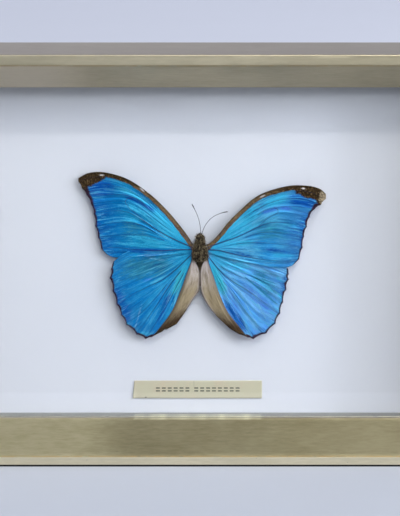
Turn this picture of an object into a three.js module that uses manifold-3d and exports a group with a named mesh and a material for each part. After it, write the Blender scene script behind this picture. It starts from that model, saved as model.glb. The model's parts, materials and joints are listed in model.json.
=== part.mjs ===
// A spread butterfly, glued by its body to a white board in a deep, silver-gold leafed wooden frame.
// Millimetres. The frame stands on its bottom rail: +Z is up, the glass faces -Y, +X is the viewer's right.
// The origin is under the middle of the whole, on the surface that it stands on.
// "Lift" is a height over the face of the mount board, measured towards the glass.

import * as THREE from "three";
import { mergeVertices } from "three/addons/utils/BufferGeometryUtils.js";
import Module from "manifold-3d";

const wasm = await Module();
wasm.setup();

// ---------------------------------------------------------------- driving dimensions

// What is left between two solids that touch.
const GAP = 0.3;

// The opening inside the rails, and the glass size it goes with: 180 x 240 mm.
const SIGHT_WIDTH = 230;
const SIGHT_HEIGHT = 170;
const RABBET_WIDTH = 6;

// The rail's section, outwards from the opening: a low wall, a slope up to a ridge, a narrow lip.
const WALL_LIFT = 10.3;
const SLOPE_WIDTH = 14;
const SLOPE_RISE = 18.7;
const LIP_WIDTH = 5.5;
const LIP_FALL = 0.5;
const LIP_ROUND = 0.9;
const SIGHT_EDGE_THICK = 1.5;
const BACK_LIFT = -5.5;

// The pack in the rabbet, from the front.
const GLASS_THICK = 2;
const MOUNT_BOARD_THICK = 1.2;
const BACKING_THICK = 1.8;
const SPACER_WIDTH = 4;
const SPACER_SETBACK = 0.25;

// Framer's points, pressed into slots in the rabbet wall over the backing.
const POINT_THICK = 0.4;
const POINT_WIDTH = 6;
const POINT_REACH = 8;
const POINT_BITE = 5;
const POINT_TIP = 2.5;
const POINT_SPACING_LONG = 130;
const POINT_SPACING_SHORT = 80;

// The sawtooth hanger on the back of the top rail: a strip with a raised, toothed middle.
const HANGER_LENGTH = 44;
const HANGER_HEIGHT = 9;
const HANGER_THICK = 0.6;
const HANGER_RAISE = 1.2;
const HANGER_RAISED_HALF = 13;
const HANGER_RAMP = 2;
const HANGER_TEETH = 9;
const HANGER_TOOTH_DEPTH = 1.3;
const HANGER_FROM_TOP = 2;
const NAIL_SPACING = 37;
const NAIL_SHANK_R = 0.7;
const NAIL_HOLE_R = 1.05;
const NAIL_HEAD_R = 2;
const NAIL_HEAD_THICK = 0.6;
const NAIL_LENGTH = 9;
const NAIL_TIP = 1.5;
const NAIL_SIDES = 12;

// The label, a strip of paper cut a little skew at its left end. Heights are over the opening's sill.
const LABEL_THICK = 0.2;
const LABEL_LEFT = -33.3;
const LABEL_RIGHT = 31.5;
const LABEL_BOTTOM = 7.5;
const LABEL_TOP = 16.9;
const LABEL_SKEW = 0.9;

// The butterfly: where its thorax is, and the lifts of its wings.
const THORAX_HEIGHT = 86;
const WING_THICK = 0.4;
const HINDWING_LIFT = 3.2;
const FOREWING_LIFT = 4.1;
const ANTENNA_R = 0.22;
const ANTENNA_CLUB_R = 0.42;
const ANTENNA_CLUB_SHARE = 0.18;
const ANTENNA_SIDES = 8;
const ANTENNA_STEPS = 12;
const BODY_SIDES = 20;

// ---------------------------------------------------------------- worked out from them

const RAIL_WIDTH = SLOPE_WIDTH + LIP_WIDTH;
const RIDGE_LIFT = WALL_LIFT + SLOPE_RISE;
const LEDGE_LIFT = WALL_LIFT - SIGHT_EDGE_THICK;
const GLASS_TOP_LIFT = LEDGE_LIFT - GAP;
const GLASS_BACK_LIFT = GLASS_TOP_LIFT - GLASS_THICK;
const BACKING_TOP_LIFT = -MOUNT_BOARD_THICK - GAP;
const BACKING_BACK_LIFT = BACKING_TOP_LIFT - BACKING_THICK;
const POINT_TOP_LIFT = BACKING_BACK_LIFT - GAP;
const HANGER_FRONT_LIFT = BACK_LIFT - GAP;
const WHOLE_BACK_LIFT = HANGER_FRONT_LIFT - HANGER_RAISE - HANGER_THICK;
const NAIL_HEAD_LIFT = HANGER_FRONT_LIFT - HANGER_THICK - GAP;

// The board's face is behind the middle of the depth, and the opening's middle is over the bottom rail.
const BOARD_Y = (RIDGE_LIFT + WHOLE_BACK_LIFT) / 2;
const CENTRE_HEIGHT = RAIL_WIDTH + SIGHT_HEIGHT / 2;
const HANGER_OVER_CENTRE = CENTRE_HEIGHT - HANGER_FROM_TOP - HANGER_HEIGHT / 2;
const SILL = -SIGHT_HEIGHT / 2;

// Each wing's outline, in millimetres from the thorax's middle: outwards, then upwards. The specimen is
// spread a little unevenly, so its sides differ.
const LEFT_FOREWING = [
  [3.6, 3], [7, 9], [11.5, 15], [17, 21.5], [23, 27.5], [28.5, 32], [34.5, 36], [40.5, 38.5], [48.5, 40],
  [55.5, 39.5], [60.4, 36.5], [58.5, 31], [55.5, 26], [53.5, 22.5], [52, 12], [51, 7.5], [49.5, 1],
  [47, -2], [42, -3.8], [35, -3.6], [15, -2], [4, -1],
];
const RIGHT_FOREWING = [
  [3.6, 3], [5.5, 4.5], [10, 9.5], [14, 15], [19.5, 20.5], [26, 26.5], [32, 30], [39, 32.5], [46, 33.7],
  [54, 33.5], [59.5, 32], [62.6, 28.5], [61, 24], [57.7, 22.3], [54, 15], [52, 8.5], [51.4, 2],
  [49.5, -4.5], [46.5, -7.5], [43, -8.6], [36.5, -8.5], [27.5, -6.6], [19, -4.8], [10, -2.5], [4, -1],
];
const LEFT_HINDWING = [
  [3.6, -1], [15, 1], [30, 1], [39, -2.5], [43.5, -5.5], [44.6, -9], [45.2, -14], [43.8, -21],
  [42, -27.5], [39, -36], [34, -41.6], [27.5, -46.4], [19, -42], [12, -38.5], [8, -31.5], [4.5, -23.5],
  [1.3, -18], [0.6, -12.5], [1.7, -8], [3.4, -5],
];
const RIGHT_HINDWING = [
  [3.6, -1], [15, -1], [30, -3], [40, -6], [44, -9], [44.6, -14], [43.5, -19], [41.7, -27.5],
  [39, -36.4], [34, -42.5], [26.5, -46.3], [15.3, -40.6], [9, -33], [3.6, -24], [0.4, -17], [0.4, -12],
  [1.6, -8], [3.4, -5],
];

// Each antenna's line, from the head to the club's tip.
const LEFT_ANTENNA = [
  [-0.6, 9.8], [-0.4, 12.2], [-0.9, 15.7], [-1.9, 18.6], [-3.2, 20.9], [-4.5, 24.2],
];
const RIGHT_ANTENNA = [
  [0.7, 9.8], [2.5, 13.8], [4.8, 16.6], [7.5, 18.4], [10.5, 19.7], [13.2, 20.3],
];
const ANTENNA_ROOT_LIFT = 3.4;
const ANTENNA_TIP_LIFT = 4.6;

// The body's sections from head to tail: height over the thorax's middle, half width, under and top lift.
const BODY_SECTIONS = [
  [9.2, 0.4, 2.9, 3.7],
  [8.8, 1.2, 2.3, 4.4],
  [7.6, 1.6, 1.9, 4.8],
  [6.4, 1.3, 1.8, 4.6],
  [5.2, 2.3, 1.2, 5.1],
  [2.6, 3.0, 0.6, 5.5],
  [-1, 3.1, 0.4, 5.6],
  [-3.8, 2.7, 0.5, 4.8],
  [-5.6, 1.8, 0.6, 2.8],
  [-8, 2.1, 0.4, 2.8],
  [-12, 1.8, 0.4, 2.8],
  [-15.5, 1.2, 0.4, 2.6],
  [-17.8, 0.7, 0.5, 2.2],
  [-18.8, 0.3, 0.8, 1.6],
];

// ---------------------------------------------------------------- finishes

const finish = (color, roughness, metalness = 0) =>
  new THREE.MeshStandardMaterial({ color, roughness, metalness });

const leaf = finish(0xb3a680, 0.38, 0.85);
const board = finish(0xeef0f4, 0.9);
const hardboard = finish(0x6b4a30, 0.85);
const steel = finish(0x9a9c9e, 0.4, 1);
const brass = finish(0xb08d4a, 0.4, 1);
const paper = finish(0xd9d8b4, 0.6);
const wing = finish(0x1f86d6, 0.35, 0.3);
const chitin = finish(0x2c2118, 0.9);
const pane = new THREE.MeshStandardMaterial({
  color: 0xf4faf8,
  roughness: 0.02,
  metalness: 0,
  transparent: true,
  opacity: 0.2,
});

// ---------------------------------------------------------------- solids

// A geometry as a manifold solid.
function solidOf(geometry) {
  const bare = geometry.clone();
  bare.deleteAttribute("normal");
  bare.deleteAttribute("uv");
  const merged = mergeVertices(bare, 1e-4);
  return new wasm.Manifold(
    new wasm.Mesh({
      numProp: 3,
      vertProperties: new Float32Array(merged.attributes.position.array),
      triVerts: new Uint32Array(merged.index.array),
    }),
  );
}

// A manifold solid as a geometry.
function geometryOf(solid) {
  const mesh = solid.getMesh();
  return geometryFrom(mesh.vertProperties, mesh.triVerts);
}

function geometryFrom(positions, indices) {
  const geometry = new THREE.BufferGeometry();
  geometry.setAttribute("position", new THREE.BufferAttribute(new Float32Array(positions), 3));
  geometry.setIndex(Array.from(indices));
  geometry.computeVertexNormals();
  return geometry;
}

// The first geometry with the others cut away.
function cutAway(geometry, cutters) {
  let solid = solidOf(geometry);
  for (const cutter of cutters) {
    solid = solid.subtract(solidOf(cutter));
  }
  return geometryOf(solid);
}

// A closed skin through rings of equally many points, with a flat cap at each end.
function loft(rings) {
  const count = rings[0].length;
  const indices = [];
  for (let r = 0; r + 1 < rings.length; r++) {
    for (let i = 0; i < count; i++) {
      const a = r * count + i;
      const b = r * count + ((i + 1) % count);
      indices.push(a, b, b + count, a, b + count, a + count);
    }
  }
  const last = (rings.length - 1) * count;
  for (let i = 1; i + 1 < count; i++) {
    indices.push(0, i + 1, i);
    indices.push(last, last + i, last + i + 1);
  }
  return geometryFrom(rings.flat(2), indices);
}

// A bar along X with mitred ends, for the bottom of the opening. Its section is a list of
// [distance outwards from the opening, lift]; alongHalf and acrossHalf are half the opening's sides.
function mitredBar(section, alongHalf, acrossHalf) {
  const cutBack = (GAP / 2) * Math.SQRT2;
  const count = section.length;
  const positions = [];
  for (const end of [-1, 1]) {
    for (const [out, lift] of section) {
      positions.push(end * (alongHalf + out - cutBack), -lift, -(acrossHalf + out));
    }
  }
  const indices = [];
  for (let i = 0; i < count; i++) {
    const next = (i + 1) % count;
    indices.push(i, count + i, count + next, i, count + next, next);
  }
  const contour = section.map(([out, lift]) => new THREE.Vector2(out, lift));
  for (const [a, b, c] of THREE.ShapeUtils.triangulateShape(contour, [])) {
    indices.push(a, b, c);
    indices.push(count + c, count + b, count + a);
  }
  return geometryFrom(positions, indices);
}

// A flat outline, given in X and Z, as a plate that stands from the board towards the glass.
function plate(shape, thick, curveSegments = 2) {
  const geometry = new THREE.ExtrudeGeometry(shape, {
    depth: thick,
    bevelEnabled: false,
    curveSegments,
  });
  return geometry.rotateX(Math.PI / 2);
}

function boxOf(width, depth, height, x, y, z) {
  return new THREE.BoxGeometry(width, depth, height).translate(x, y, z);
}

function named(name, geometry, material) {
  const mesh = new THREE.Mesh(geometry, material);
  mesh.name = name;
  return mesh;
}

// ---------------------------------------------------------------- the frame

// Points round a corner of the section, from angle a0 to a1 in degrees.
function corner(out, lift, radius, a0, a1, steps = 4) {
  const points = [];
  for (let i = 0; i <= steps; i++) {
    const angle = THREE.MathUtils.degToRad(a0 + ((a1 - a0) * i) / steps);
    points.push([out + radius * Math.cos(angle), lift + radius * Math.sin(angle)]);
  }
  return points;
}

function railSection() {
  const rabbet = RABBET_WIDTH + GAP;
  const slopeAngle = THREE.MathUtils.radToDeg(Math.atan2(SLOPE_RISE, SLOPE_WIDTH));
  const outerTop = RIDGE_LIFT - LIP_FALL;
  return [
    [0, WALL_LIFT],
    [0, LEDGE_LIFT],
    [rabbet, LEDGE_LIFT],
    [rabbet, BACK_LIFT],
    [RAIL_WIDTH, BACK_LIFT],
    ...corner(RAIL_WIDTH - LIP_ROUND, outerTop - LIP_ROUND, LIP_ROUND, 0, 85),
    ...corner(SLOPE_WIDTH + LIP_ROUND, RIDGE_LIFT - LIP_ROUND, LIP_ROUND, 90, 90 + slopeAngle, 3),
  ];
}

// The slots that the points are pressed into, for a bar whose points are spaced that far apart.
function pointSlots(spacing, acrossHalf) {
  const depth = POINT_BITE + 2 * GAP;
  const out = RABBET_WIDTH + POINT_BITE / 2 + GAP;
  const lift = POINT_TOP_LIFT - POINT_THICK / 2;
  return [-1, 1].map((side) =>
    boxOf(
      POINT_WIDTH + 2 * GAP,
      POINT_THICK + 2 * GAP,
      depth,
      (side * spacing) / 2,
      -lift,
      -(acrossHalf + out),
    ),
  );
}

function nailHoles() {
  return [-1, 1].map((side) =>
    new THREE.CylinderGeometry(NAIL_HOLE_R, NAIL_HOLE_R, 2 * (NAIL_LENGTH + GAP), NAIL_SIDES).translate(
      (side * NAIL_SPACING) / 2,
      -BACK_LIFT,
      -HANGER_OVER_CENTRE,
    ),
  );
}

// The four sides: the bar for the bottom, turned about the opening's middle.
const SIDES = [
  { name: "bottom", turn: 0, along: SIGHT_WIDTH / 2, across: SIGHT_HEIGHT / 2, spacing: POINT_SPACING_LONG },
  { name: "left", turn: 1, along: SIGHT_HEIGHT / 2, across: SIGHT_WIDTH / 2, spacing: POINT_SPACING_SHORT },
  { name: "top", turn: 2, along: SIGHT_WIDTH / 2, across: SIGHT_HEIGHT / 2, spacing: POINT_SPACING_LONG },
  { name: "right", turn: 3, along: SIGHT_HEIGHT / 2, across: SIGHT_WIDTH / 2, spacing: POINT_SPACING_SHORT },
];

function buildSide(side) {
  const group = new THREE.Group();
  group.rotation.y = (side.turn * Math.PI) / 2;
  const cutters = pointSlots(side.spacing, side.across);
  if (side.name === "top") {
    cutters.push(...nailHoles());
  }
  const rail = cutAway(mitredBar(railSection(), side.along, side.across), cutters);
  group.add(named(`rail_${side.name}`, rail, leaf));
  group.add(named(`spacer_${side.name}`, buildSpacer(side), leaf));
  for (const [i, end] of [-1, 1].entries()) {
    const point = named(`framing_point_${side.name}_${i + 1}`, buildPoint(), steel);
    point.position.set((end * side.spacing) / 2, -POINT_TOP_LIFT, -(side.across + RABBET_WIDTH));
    group.add(point);
  }
  return group;
}

// The strip that keeps the glass off the board.
function buildSpacer(side) {
  const section = [
    [SPACER_SETBACK, GLASS_BACK_LIFT - GAP],
    [SPACER_SETBACK, GAP],
    [SPACER_SETBACK + SPACER_WIDTH, GAP],
    [SPACER_SETBACK + SPACER_WIDTH, GLASS_BACK_LIFT - GAP],
  ];
  return mitredBar(section, side.along, side.across);
}

// A thin blade with a pointed end in the wood and a blunt end over the backing.
function buildPoint() {
  const half = POINT_WIDTH / 2;
  const shape = new THREE.Shape();
  shape.moveTo(-half, POINT_REACH);
  shape.lineTo(-half, POINT_TIP - POINT_BITE);
  shape.lineTo(0, -POINT_BITE);
  shape.lineTo(half, POINT_TIP - POINT_BITE);
  shape.lineTo(half, POINT_REACH);
  shape.closePath();
  return plate(shape, POINT_THICK).translate(0, POINT_THICK, 0);
}

// ---------------------------------------------------------------- what lies in the rabbet

function rabbetSheet(thick, topLift) {
  const width = SIGHT_WIDTH + 2 * RABBET_WIDTH - 2 * GAP;
  const height = SIGHT_HEIGHT + 2 * RABBET_WIDTH - 2 * GAP;
  return boxOf(width, thick, height, 0, thick / 2 - topLift, 0);
}

function buildLabel() {
  const shape = new THREE.Shape();
  shape.moveTo(LABEL_LEFT, SILL + LABEL_TOP);
  shape.lineTo(LABEL_LEFT - LABEL_SKEW, SILL + LABEL_BOTTOM);
  shape.lineTo(LABEL_RIGHT, SILL + LABEL_BOTTOM);
  shape.lineTo(LABEL_RIGHT, SILL + LABEL_TOP);
  shape.closePath();
  return plate(shape, LABEL_THICK).translate(0, -GAP, 0);
}

// ---------------------------------------------------------------- the hanger

// The strip seen from above: flat ends on the rail and a raised middle.
function hangerPlan() {
  const end = HANGER_LENGTH / 2;
  const ramp = HANGER_RAISED_HALF + HANGER_RAMP;
  const inner = [
    [-end, 0], [-ramp, 0], [-HANGER_RAISED_HALF, HANGER_RAISE],
    [HANGER_RAISED_HALF, HANGER_RAISE], [ramp, 0], [end, 0],
  ];
  const outer = inner.map(([x, y]) => [x, y + HANGER_THICK]).reverse();
  const points = [...inner, ...outer].map(([x, y]) => new THREE.Vector2(x, y));
  return new THREE.ExtrudeGeometry(new THREE.Shape(points), {
    depth: HANGER_HEIGHT,
    bevelEnabled: false,
  }).translate(0, 0, -HANGER_HEIGHT / 2);
}

// The notches between the teeth, as one comb under the strip's lower edge.
function hangerNotches() {
  const pitch = (2 * HANGER_RAISED_HALF) / HANGER_TEETH;
  const bottom = -HANGER_HEIGHT / 2;
  const shape = new THREE.Shape();
  shape.moveTo(-HANGER_RAISED_HALF, bottom - HANGER_TOOTH_DEPTH);
  for (let i = 0; i < HANGER_TEETH; i++) {
    const x = -HANGER_RAISED_HALF + i * pitch;
    shape.lineTo(x, bottom);
    shape.lineTo(x + pitch / 2, bottom + HANGER_TOOTH_DEPTH);
  }
  shape.lineTo(HANGER_RAISED_HALF, bottom);
  shape.lineTo(HANGER_RAISED_HALF, bottom - HANGER_TOOTH_DEPTH);
  shape.closePath();
  return plate(shape, 4 * HANGER_RAISE).translate(0, 3 * HANGER_RAISE, 0);
}

function buildHanger() {
  const holes = [-1, 1].map((side) =>
    new THREE.CylinderGeometry(NAIL_HOLE_R, NAIL_HOLE_R, 4 * HANGER_THICK, NAIL_SIDES).translate(
      (side * NAIL_SPACING) / 2,
      0,
      0,
    ),
  );
  return cutAway(hangerPlan(), [hangerNotches(), ...holes]);
}

// A nail with a low domed head; its shank points into the rail, along -Y.
function buildNail() {
  const profile = [
    new THREE.Vector2(0, -NAIL_LENGTH),
    new THREE.Vector2(NAIL_SHANK_R, NAIL_TIP - NAIL_LENGTH),
    new THREE.Vector2(NAIL_SHANK_R, 0),
    new THREE.Vector2(NAIL_HEAD_R, 0),
    new THREE.Vector2(NAIL_HEAD_R * 0.8, NAIL_HEAD_THICK * 0.7),
    new THREE.Vector2(0, NAIL_HEAD_THICK),
  ];
  return new THREE.LatheGeometry(profile, NAIL_SIDES);
}

function buildHangerGroup() {
  const group = new THREE.Group();
  const hanger = named("hanger_plate", buildHanger(), brass);
  hanger.position.set(0, -HANGER_FRONT_LIFT, HANGER_OVER_CENTRE);
  group.add(hanger);
  for (const [i, side] of [-1, 1].entries()) {
    const nail = named(`hanger_nail_${i + 1}`, buildNail(), brass);
    nail.position.set((side * NAIL_SPACING) / 2, -NAIL_HEAD_LIFT, HANGER_OVER_CENTRE);
    group.add(nail);
  }
  return group;
}

// ---------------------------------------------------------------- the butterfly

function wingGeometry(outline, side) {
  const points = outline.map(([out, up]) => new THREE.Vector2(side * out, up));
  const shape = new THREE.Shape();
  shape.moveTo(points[0].x, points[0].y);
  shape.splineThru(points.slice(1));
  shape.closePath();
  return plate(shape, WING_THICK);
}

// Head, thorax and abdomen are one grown piece.
function bodyGeometry() {
  const rings = BODY_SECTIONS.map(([up, halfWidth, under, top]) => {
    const ring = [];
    for (let i = 0; i < BODY_SIDES; i++) {
      const angle = (2 * Math.PI * i) / BODY_SIDES;
      const lift = (top + under) / 2 + ((top - under) / 2) * Math.sin(angle);
      ring.push([halfWidth * Math.cos(angle), -lift, up]);
    }
    return ring;
  });
  return loft(rings);
}

// A thin rod that swells into a club at its tip.
function antennaGeometry(line) {
  const last = line.length - 1;
  const curve = new THREE.CatmullRomCurve3(
    line.map(([x, up], i) => {
      const lift = THREE.MathUtils.lerp(ANTENNA_ROOT_LIFT, ANTENNA_TIP_LIFT, i / last);
      return new THREE.Vector3(x, -lift, up);
    }),
  );
  const frames = curve.computeFrenetFrames(ANTENNA_STEPS, false);
  const rings = [];
  for (let i = 0; i <= ANTENNA_STEPS; i++) {
    const share = i / ANTENNA_STEPS;
    const club = THREE.MathUtils.smoothstep(share, 1 - ANTENNA_CLUB_SHARE, 1 - ANTENNA_CLUB_SHARE / 3);
    const radius = THREE.MathUtils.lerp(ANTENNA_R, ANTENNA_CLUB_R, club);
    const centre = curve.getPointAt(share);
    const ring = [];
    for (let k = 0; k < ANTENNA_SIDES; k++) {
      const angle = (2 * Math.PI * k) / ANTENNA_SIDES;
      const point = centre
        .clone()
        .addScaledVector(frames.normals[i], radius * Math.cos(angle))
        .addScaledVector(frames.binormals[i], radius * Math.sin(angle));
      ring.push(point.toArray());
    }
    rings.push(ring);
  }
  return loft(rings);
}

function buildButterfly() {
  const group = new THREE.Group();
  group.position.z = SILL + THORAX_HEIGHT;
  const wings = [
    ["left_forewing", LEFT_FOREWING, -1, FOREWING_LIFT],
    ["right_forewing", RIGHT_FOREWING, 1, FOREWING_LIFT],
    ["left_hindwing", LEFT_HINDWING, -1, HINDWING_LIFT],
    ["right_hindwing", RIGHT_HINDWING, 1, HINDWING_LIFT],
  ];
  for (const [name, outline, side, lift] of wings) {
    const mesh = named(name, wingGeometry(outline, side), wing);
    mesh.position.y = -lift;
    group.add(mesh);
  }
  group.add(named("butterfly_body", bodyGeometry(), chitin));
  group.add(named("left_antenna", antennaGeometry(LEFT_ANTENNA), chitin));
  group.add(named("right_antenna", antennaGeometry(RIGHT_ANTENNA), chitin));
  return group;
}

// ---------------------------------------------------------------- the whole

function buildSpecimen() {
  const specimen = new THREE.Group();
  const inFrame = new THREE.Group();
  inFrame.position.set(0, BOARD_Y, CENTRE_HEIGHT);
  specimen.add(inFrame);
  inFrame.add(...SIDES.map(buildSide));
  inFrame.add(named("glass_pane", rabbetSheet(GLASS_THICK, GLASS_TOP_LIFT), pane));
  inFrame.add(named("mount_board", rabbetSheet(MOUNT_BOARD_THICK, 0), board));
  inFrame.add(named("backing_board", rabbetSheet(BACKING_THICK, BACKING_TOP_LIFT), hardboard));
  inFrame.add(named("label", buildLabel(), paper));
  inFrame.add(buildHangerGroup());
  inFrame.add(buildButterfly());
  return specimen;
}

export default buildSpecimen();
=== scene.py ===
"""A spread blue butterfly on a white board, behind glass in a deep silver-gold leafed frame.

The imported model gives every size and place. This script gives the looks: the leafed rails, the pane, the
board and its label, and the butterfly with its veined wings, furred body and antennae.
"""

from __future__ import annotations

import json
import logging
import math
from collections.abc import Iterator
from contextlib import contextmanager
from dataclasses import dataclass, field
from enum import Enum

import bmesh
import bpy
import numpy as np
from mathutils import Matrix, Vector

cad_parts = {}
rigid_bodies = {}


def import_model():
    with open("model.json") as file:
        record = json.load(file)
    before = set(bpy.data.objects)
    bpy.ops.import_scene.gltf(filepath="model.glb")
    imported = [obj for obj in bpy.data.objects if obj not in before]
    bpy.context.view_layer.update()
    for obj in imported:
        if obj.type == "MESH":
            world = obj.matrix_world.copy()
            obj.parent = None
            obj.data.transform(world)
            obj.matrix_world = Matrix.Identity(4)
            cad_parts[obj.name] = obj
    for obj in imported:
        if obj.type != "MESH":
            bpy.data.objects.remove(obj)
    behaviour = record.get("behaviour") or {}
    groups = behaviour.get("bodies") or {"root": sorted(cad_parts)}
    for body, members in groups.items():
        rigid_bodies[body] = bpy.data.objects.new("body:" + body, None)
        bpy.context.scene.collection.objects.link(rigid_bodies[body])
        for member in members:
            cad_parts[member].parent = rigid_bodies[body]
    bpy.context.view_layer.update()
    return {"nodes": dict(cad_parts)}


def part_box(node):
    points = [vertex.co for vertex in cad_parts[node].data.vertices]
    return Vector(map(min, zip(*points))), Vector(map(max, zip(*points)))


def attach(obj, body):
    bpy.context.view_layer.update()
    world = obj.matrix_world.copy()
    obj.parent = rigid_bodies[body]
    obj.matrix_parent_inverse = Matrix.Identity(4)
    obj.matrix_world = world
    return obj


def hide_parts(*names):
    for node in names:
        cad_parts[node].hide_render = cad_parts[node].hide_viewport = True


for _startup in list(bpy.data.objects):
    bpy.data.objects.remove(_startup)
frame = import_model()

log = logging.getLogger("specimen")

MM = 0.001
BODY = "root"

Pair = tuple[float, float]
Triple = tuple[float, float, float]
Array = np.ndarray
Piece = bpy.types.Object
Material = bpy.types.Material
Node = bpy.types.Node
Tree = bpy.types.NodeTree
Socket = bpy.types.NodeSocket
Mesh = bpy.types.Mesh


# -------- the frame's own measures


@dataclass(frozen=True)
class Space:
    """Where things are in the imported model.

    A lift is a height over the board's face towards the glass, along -Y.
    """

    board_y: float
    sill_z: float
    head_z: float
    jamb_x: float
    rail_width: float
    front_lift: float
    back_lift: float

    @classmethod
    def measure(cls) -> "Space":
        """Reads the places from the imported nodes.

        Returns:
            The places.
        """
        board_low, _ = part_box("mount_board")
        rail_low, rail_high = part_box("rail_bottom")
        top_low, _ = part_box("rail_top")
        right_low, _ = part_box("rail_right")
        return cls(
            board_y=board_low.y,
            sill_z=rail_high.z,
            head_z=top_low.z,
            jamb_x=right_low.x,
            rail_width=rail_high.z - rail_low.z,
            front_lift=board_low.y - rail_low.y,
            back_lift=board_low.y - rail_high.y,
        )

    @property
    def half_high(self) -> float:
        """Half the opening's height."""
        return (self.head_z - self.sill_z) / 2

    @property
    def centre(self) -> Vector:
        """The middle of the opening, on the board's face."""
        return Vector((0.0, self.board_y, (self.sill_z + self.head_z) / 2))


SPACE = Space.measure()
THORAX_Z = SPACE.sill_z + 86 * MM


# -------- meshes


def new_piece(name: str, points: Array, faces: list, smooth: bool = True) -> Piece:
    """Makes a mesh object at the origin.

    Args:
        name: The piece's name.
        points: One row of X, Y, Z for each vertex, in metres.
        faces: Each face's vertex numbers.
        smooth: Whether its faces are shaded smooth.

    Returns:
        The object, in the scene.
    """
    mesh = bpy.data.meshes.new(name)
    mesh.from_pydata([tuple(p) for p in points], [], faces)
    mesh.polygons.foreach_set("use_smooth", [smooth] * len(mesh.polygons))
    mesh.validate()
    mesh.update()
    return add_piece(name, mesh)


def add_piece(name: str, data: bpy.types.ID) -> Piece:
    """Puts a mesh, a lamp or a camera in the scene as an object at the origin."""
    piece = bpy.data.objects.new(name, data)
    bpy.context.scene.collection.objects.link(piece)
    return piece


@contextmanager
def editing(source: Mesh, result: Mesh | None = None) -> Iterator[bmesh.types.BMesh]:
    """Opens a mesh to be edited.

    Args:
        source: The mesh.
        result: Where the edited mesh is put; the source itself if this is left out.

    Yields:
        The mesh's grid of vertices, edges and faces.
    """
    grid = bmesh.new()
    grid.from_mesh(source)
    yield grid
    grid.to_mesh(result or source)
    grid.free()


def set_attribute(piece: Piece, name: str, values: Array) -> None:
    """Stores one number for each vertex of a piece."""
    attribute = piece.data.attributes.new(name, "FLOAT", "POINT")
    attribute.data.foreach_set("value", np.asarray(values, np.float32).ravel())


def set_uv(piece: Piece, name: str, per_vertex: Array) -> None:
    """Stores a UV map whose values belong to the vertices.

    Args:
        piece: The piece.
        name: The map's name.
        per_vertex: One row of U, V for each vertex.
    """
    layer = piece.data.uv_layers.new(name=name)
    loops = np.zeros(len(piece.data.loops), np.int32)
    piece.data.loops.foreach_get("vertex_index", loops)
    layer.data.foreach_set("uv", per_vertex[loops].astype(np.float32).ravel())


def dress(piece: Piece, *finishes: Material) -> Piece:
    """Gives a piece its materials.

    Args:
        piece: The piece.
        finishes: The materials, by their number on the faces.

    Returns:
        The same piece.
    """
    piece.data.materials.clear()
    for finish in finishes:
        piece.data.materials.append(finish)
    return piece


def seat(piece: Piece, slot: str, *nodes: str) -> Piece:
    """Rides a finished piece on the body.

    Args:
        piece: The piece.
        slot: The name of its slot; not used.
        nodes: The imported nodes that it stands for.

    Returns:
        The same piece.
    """
    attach(piece, BODY)
    if nodes:
        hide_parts(*nodes)
    log.info("%s: %d faces", piece.name, len(piece.data.polygons))
    return piece


def refine(node: str, name: str, bevel: float, segments: int = 2) -> Piece:
    """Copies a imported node's solid, joins its loose faces and takes off its sharp edges.

    Args:
        node: The node to copy.
        name: The new piece's name.
        bevel: How wide the edges are broken, in metres.
        segments: How many faces each broken edge has.

    Returns:
        The new piece.
    """
    mesh = bpy.data.meshes.new(name)
    with editing(frame["nodes"][node].data, mesh) as grid:
        bmesh.ops.remove_doubles(grid, verts=grid.verts, dist=1e-6)
        bmesh.ops.dissolve_limit(grid, angle_limit=math.radians(2), verts=grid.verts, edges=grid.edges)
        sharp = [e for e in grid.edges if len(e.link_faces) == 2 and e.calc_face_angle(0) > math.radians(25)]
        bmesh.ops.bevel(grid, geom=sharp, offset=bevel, segments=segments, affect="EDGES", clamp_overlap=True)
        bmesh.ops.triangulate(grid, faces=[f for f in grid.faces if len(f.verts) > 4])
    mesh.polygons.foreach_set("use_smooth", [True] * len(mesh.polygons))
    mesh.set_sharp_from_angle(angle=math.radians(35))
    return add_piece(name, mesh)


def loft_faces(rings: int, sides: int, first: int = 0) -> list:
    """Joins rings of points and closes both ends.

    Args:
        rings: How many rings there are.
        sides: How many points each ring has.
        first: The first point's number.

    Returns:
        The faces, ring by ring, and then the two ends.
    """
    faces = []
    for ring in range(rings - 1):
        for k in range(sides):
            a, b = first + ring * sides + k, first + ring * sides + (k + 1) % sides
            faces.append((a, a + sides, b + sides, b))
    last = first + (rings - 1) * sides
    faces.append(tuple(range(first, first + sides)))
    faces.append(tuple(reversed(range(last, last + sides))))
    return faces


def spline(points: Array, count: int) -> Array:
    """Samples a smooth curve through points at even distances.

    Args:
        points: The curve's points, one a row.
        count: How many samples to give.

    Returns:
        The samples, one a row.
    """
    points = np.asarray(points, float)
    padded = np.vstack([2 * points[0] - points[1], points, 2 * points[-1] - points[-2]])
    fine = []
    for i in range(len(points) - 1):
        for u in np.linspace(0, 1, 24, endpoint=False):
            fine.append(through(*padded[i : i + 4], u))
    fine.append(points[-1])
    fine = np.array(fine)
    along = np.concatenate([[0], np.cumsum(np.linalg.norm(np.diff(fine, axis=0), axis=1))])
    wanted = np.linspace(0, along[-1], count)
    return np.column_stack([np.interp(wanted, along, fine[:, k]) for k in range(fine.shape[1])])


def through(p0: Array, p1: Array, p2: Array, p3: Array, u: float) -> Array:
    """Goes from p1 to p2 on a smooth curve that also passes p0 and p3."""
    square = 2 * p0 - 5 * p1 + 4 * p2 - p3
    cube = 3 * p1 - p0 - 3 * p2 + p3
    return 0.5 * (2 * p1 + (p2 - p0) * u + square * u**2 + cube * u**3)


def ease(low: float | Array, high: float | Array, value: Array) -> Array:
    """Goes smoothly from 0 at low to 1 at high."""
    share = np.clip((value - low) / (high - low), 0, 1)
    return share * share * (3 - 2 * share)


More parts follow.
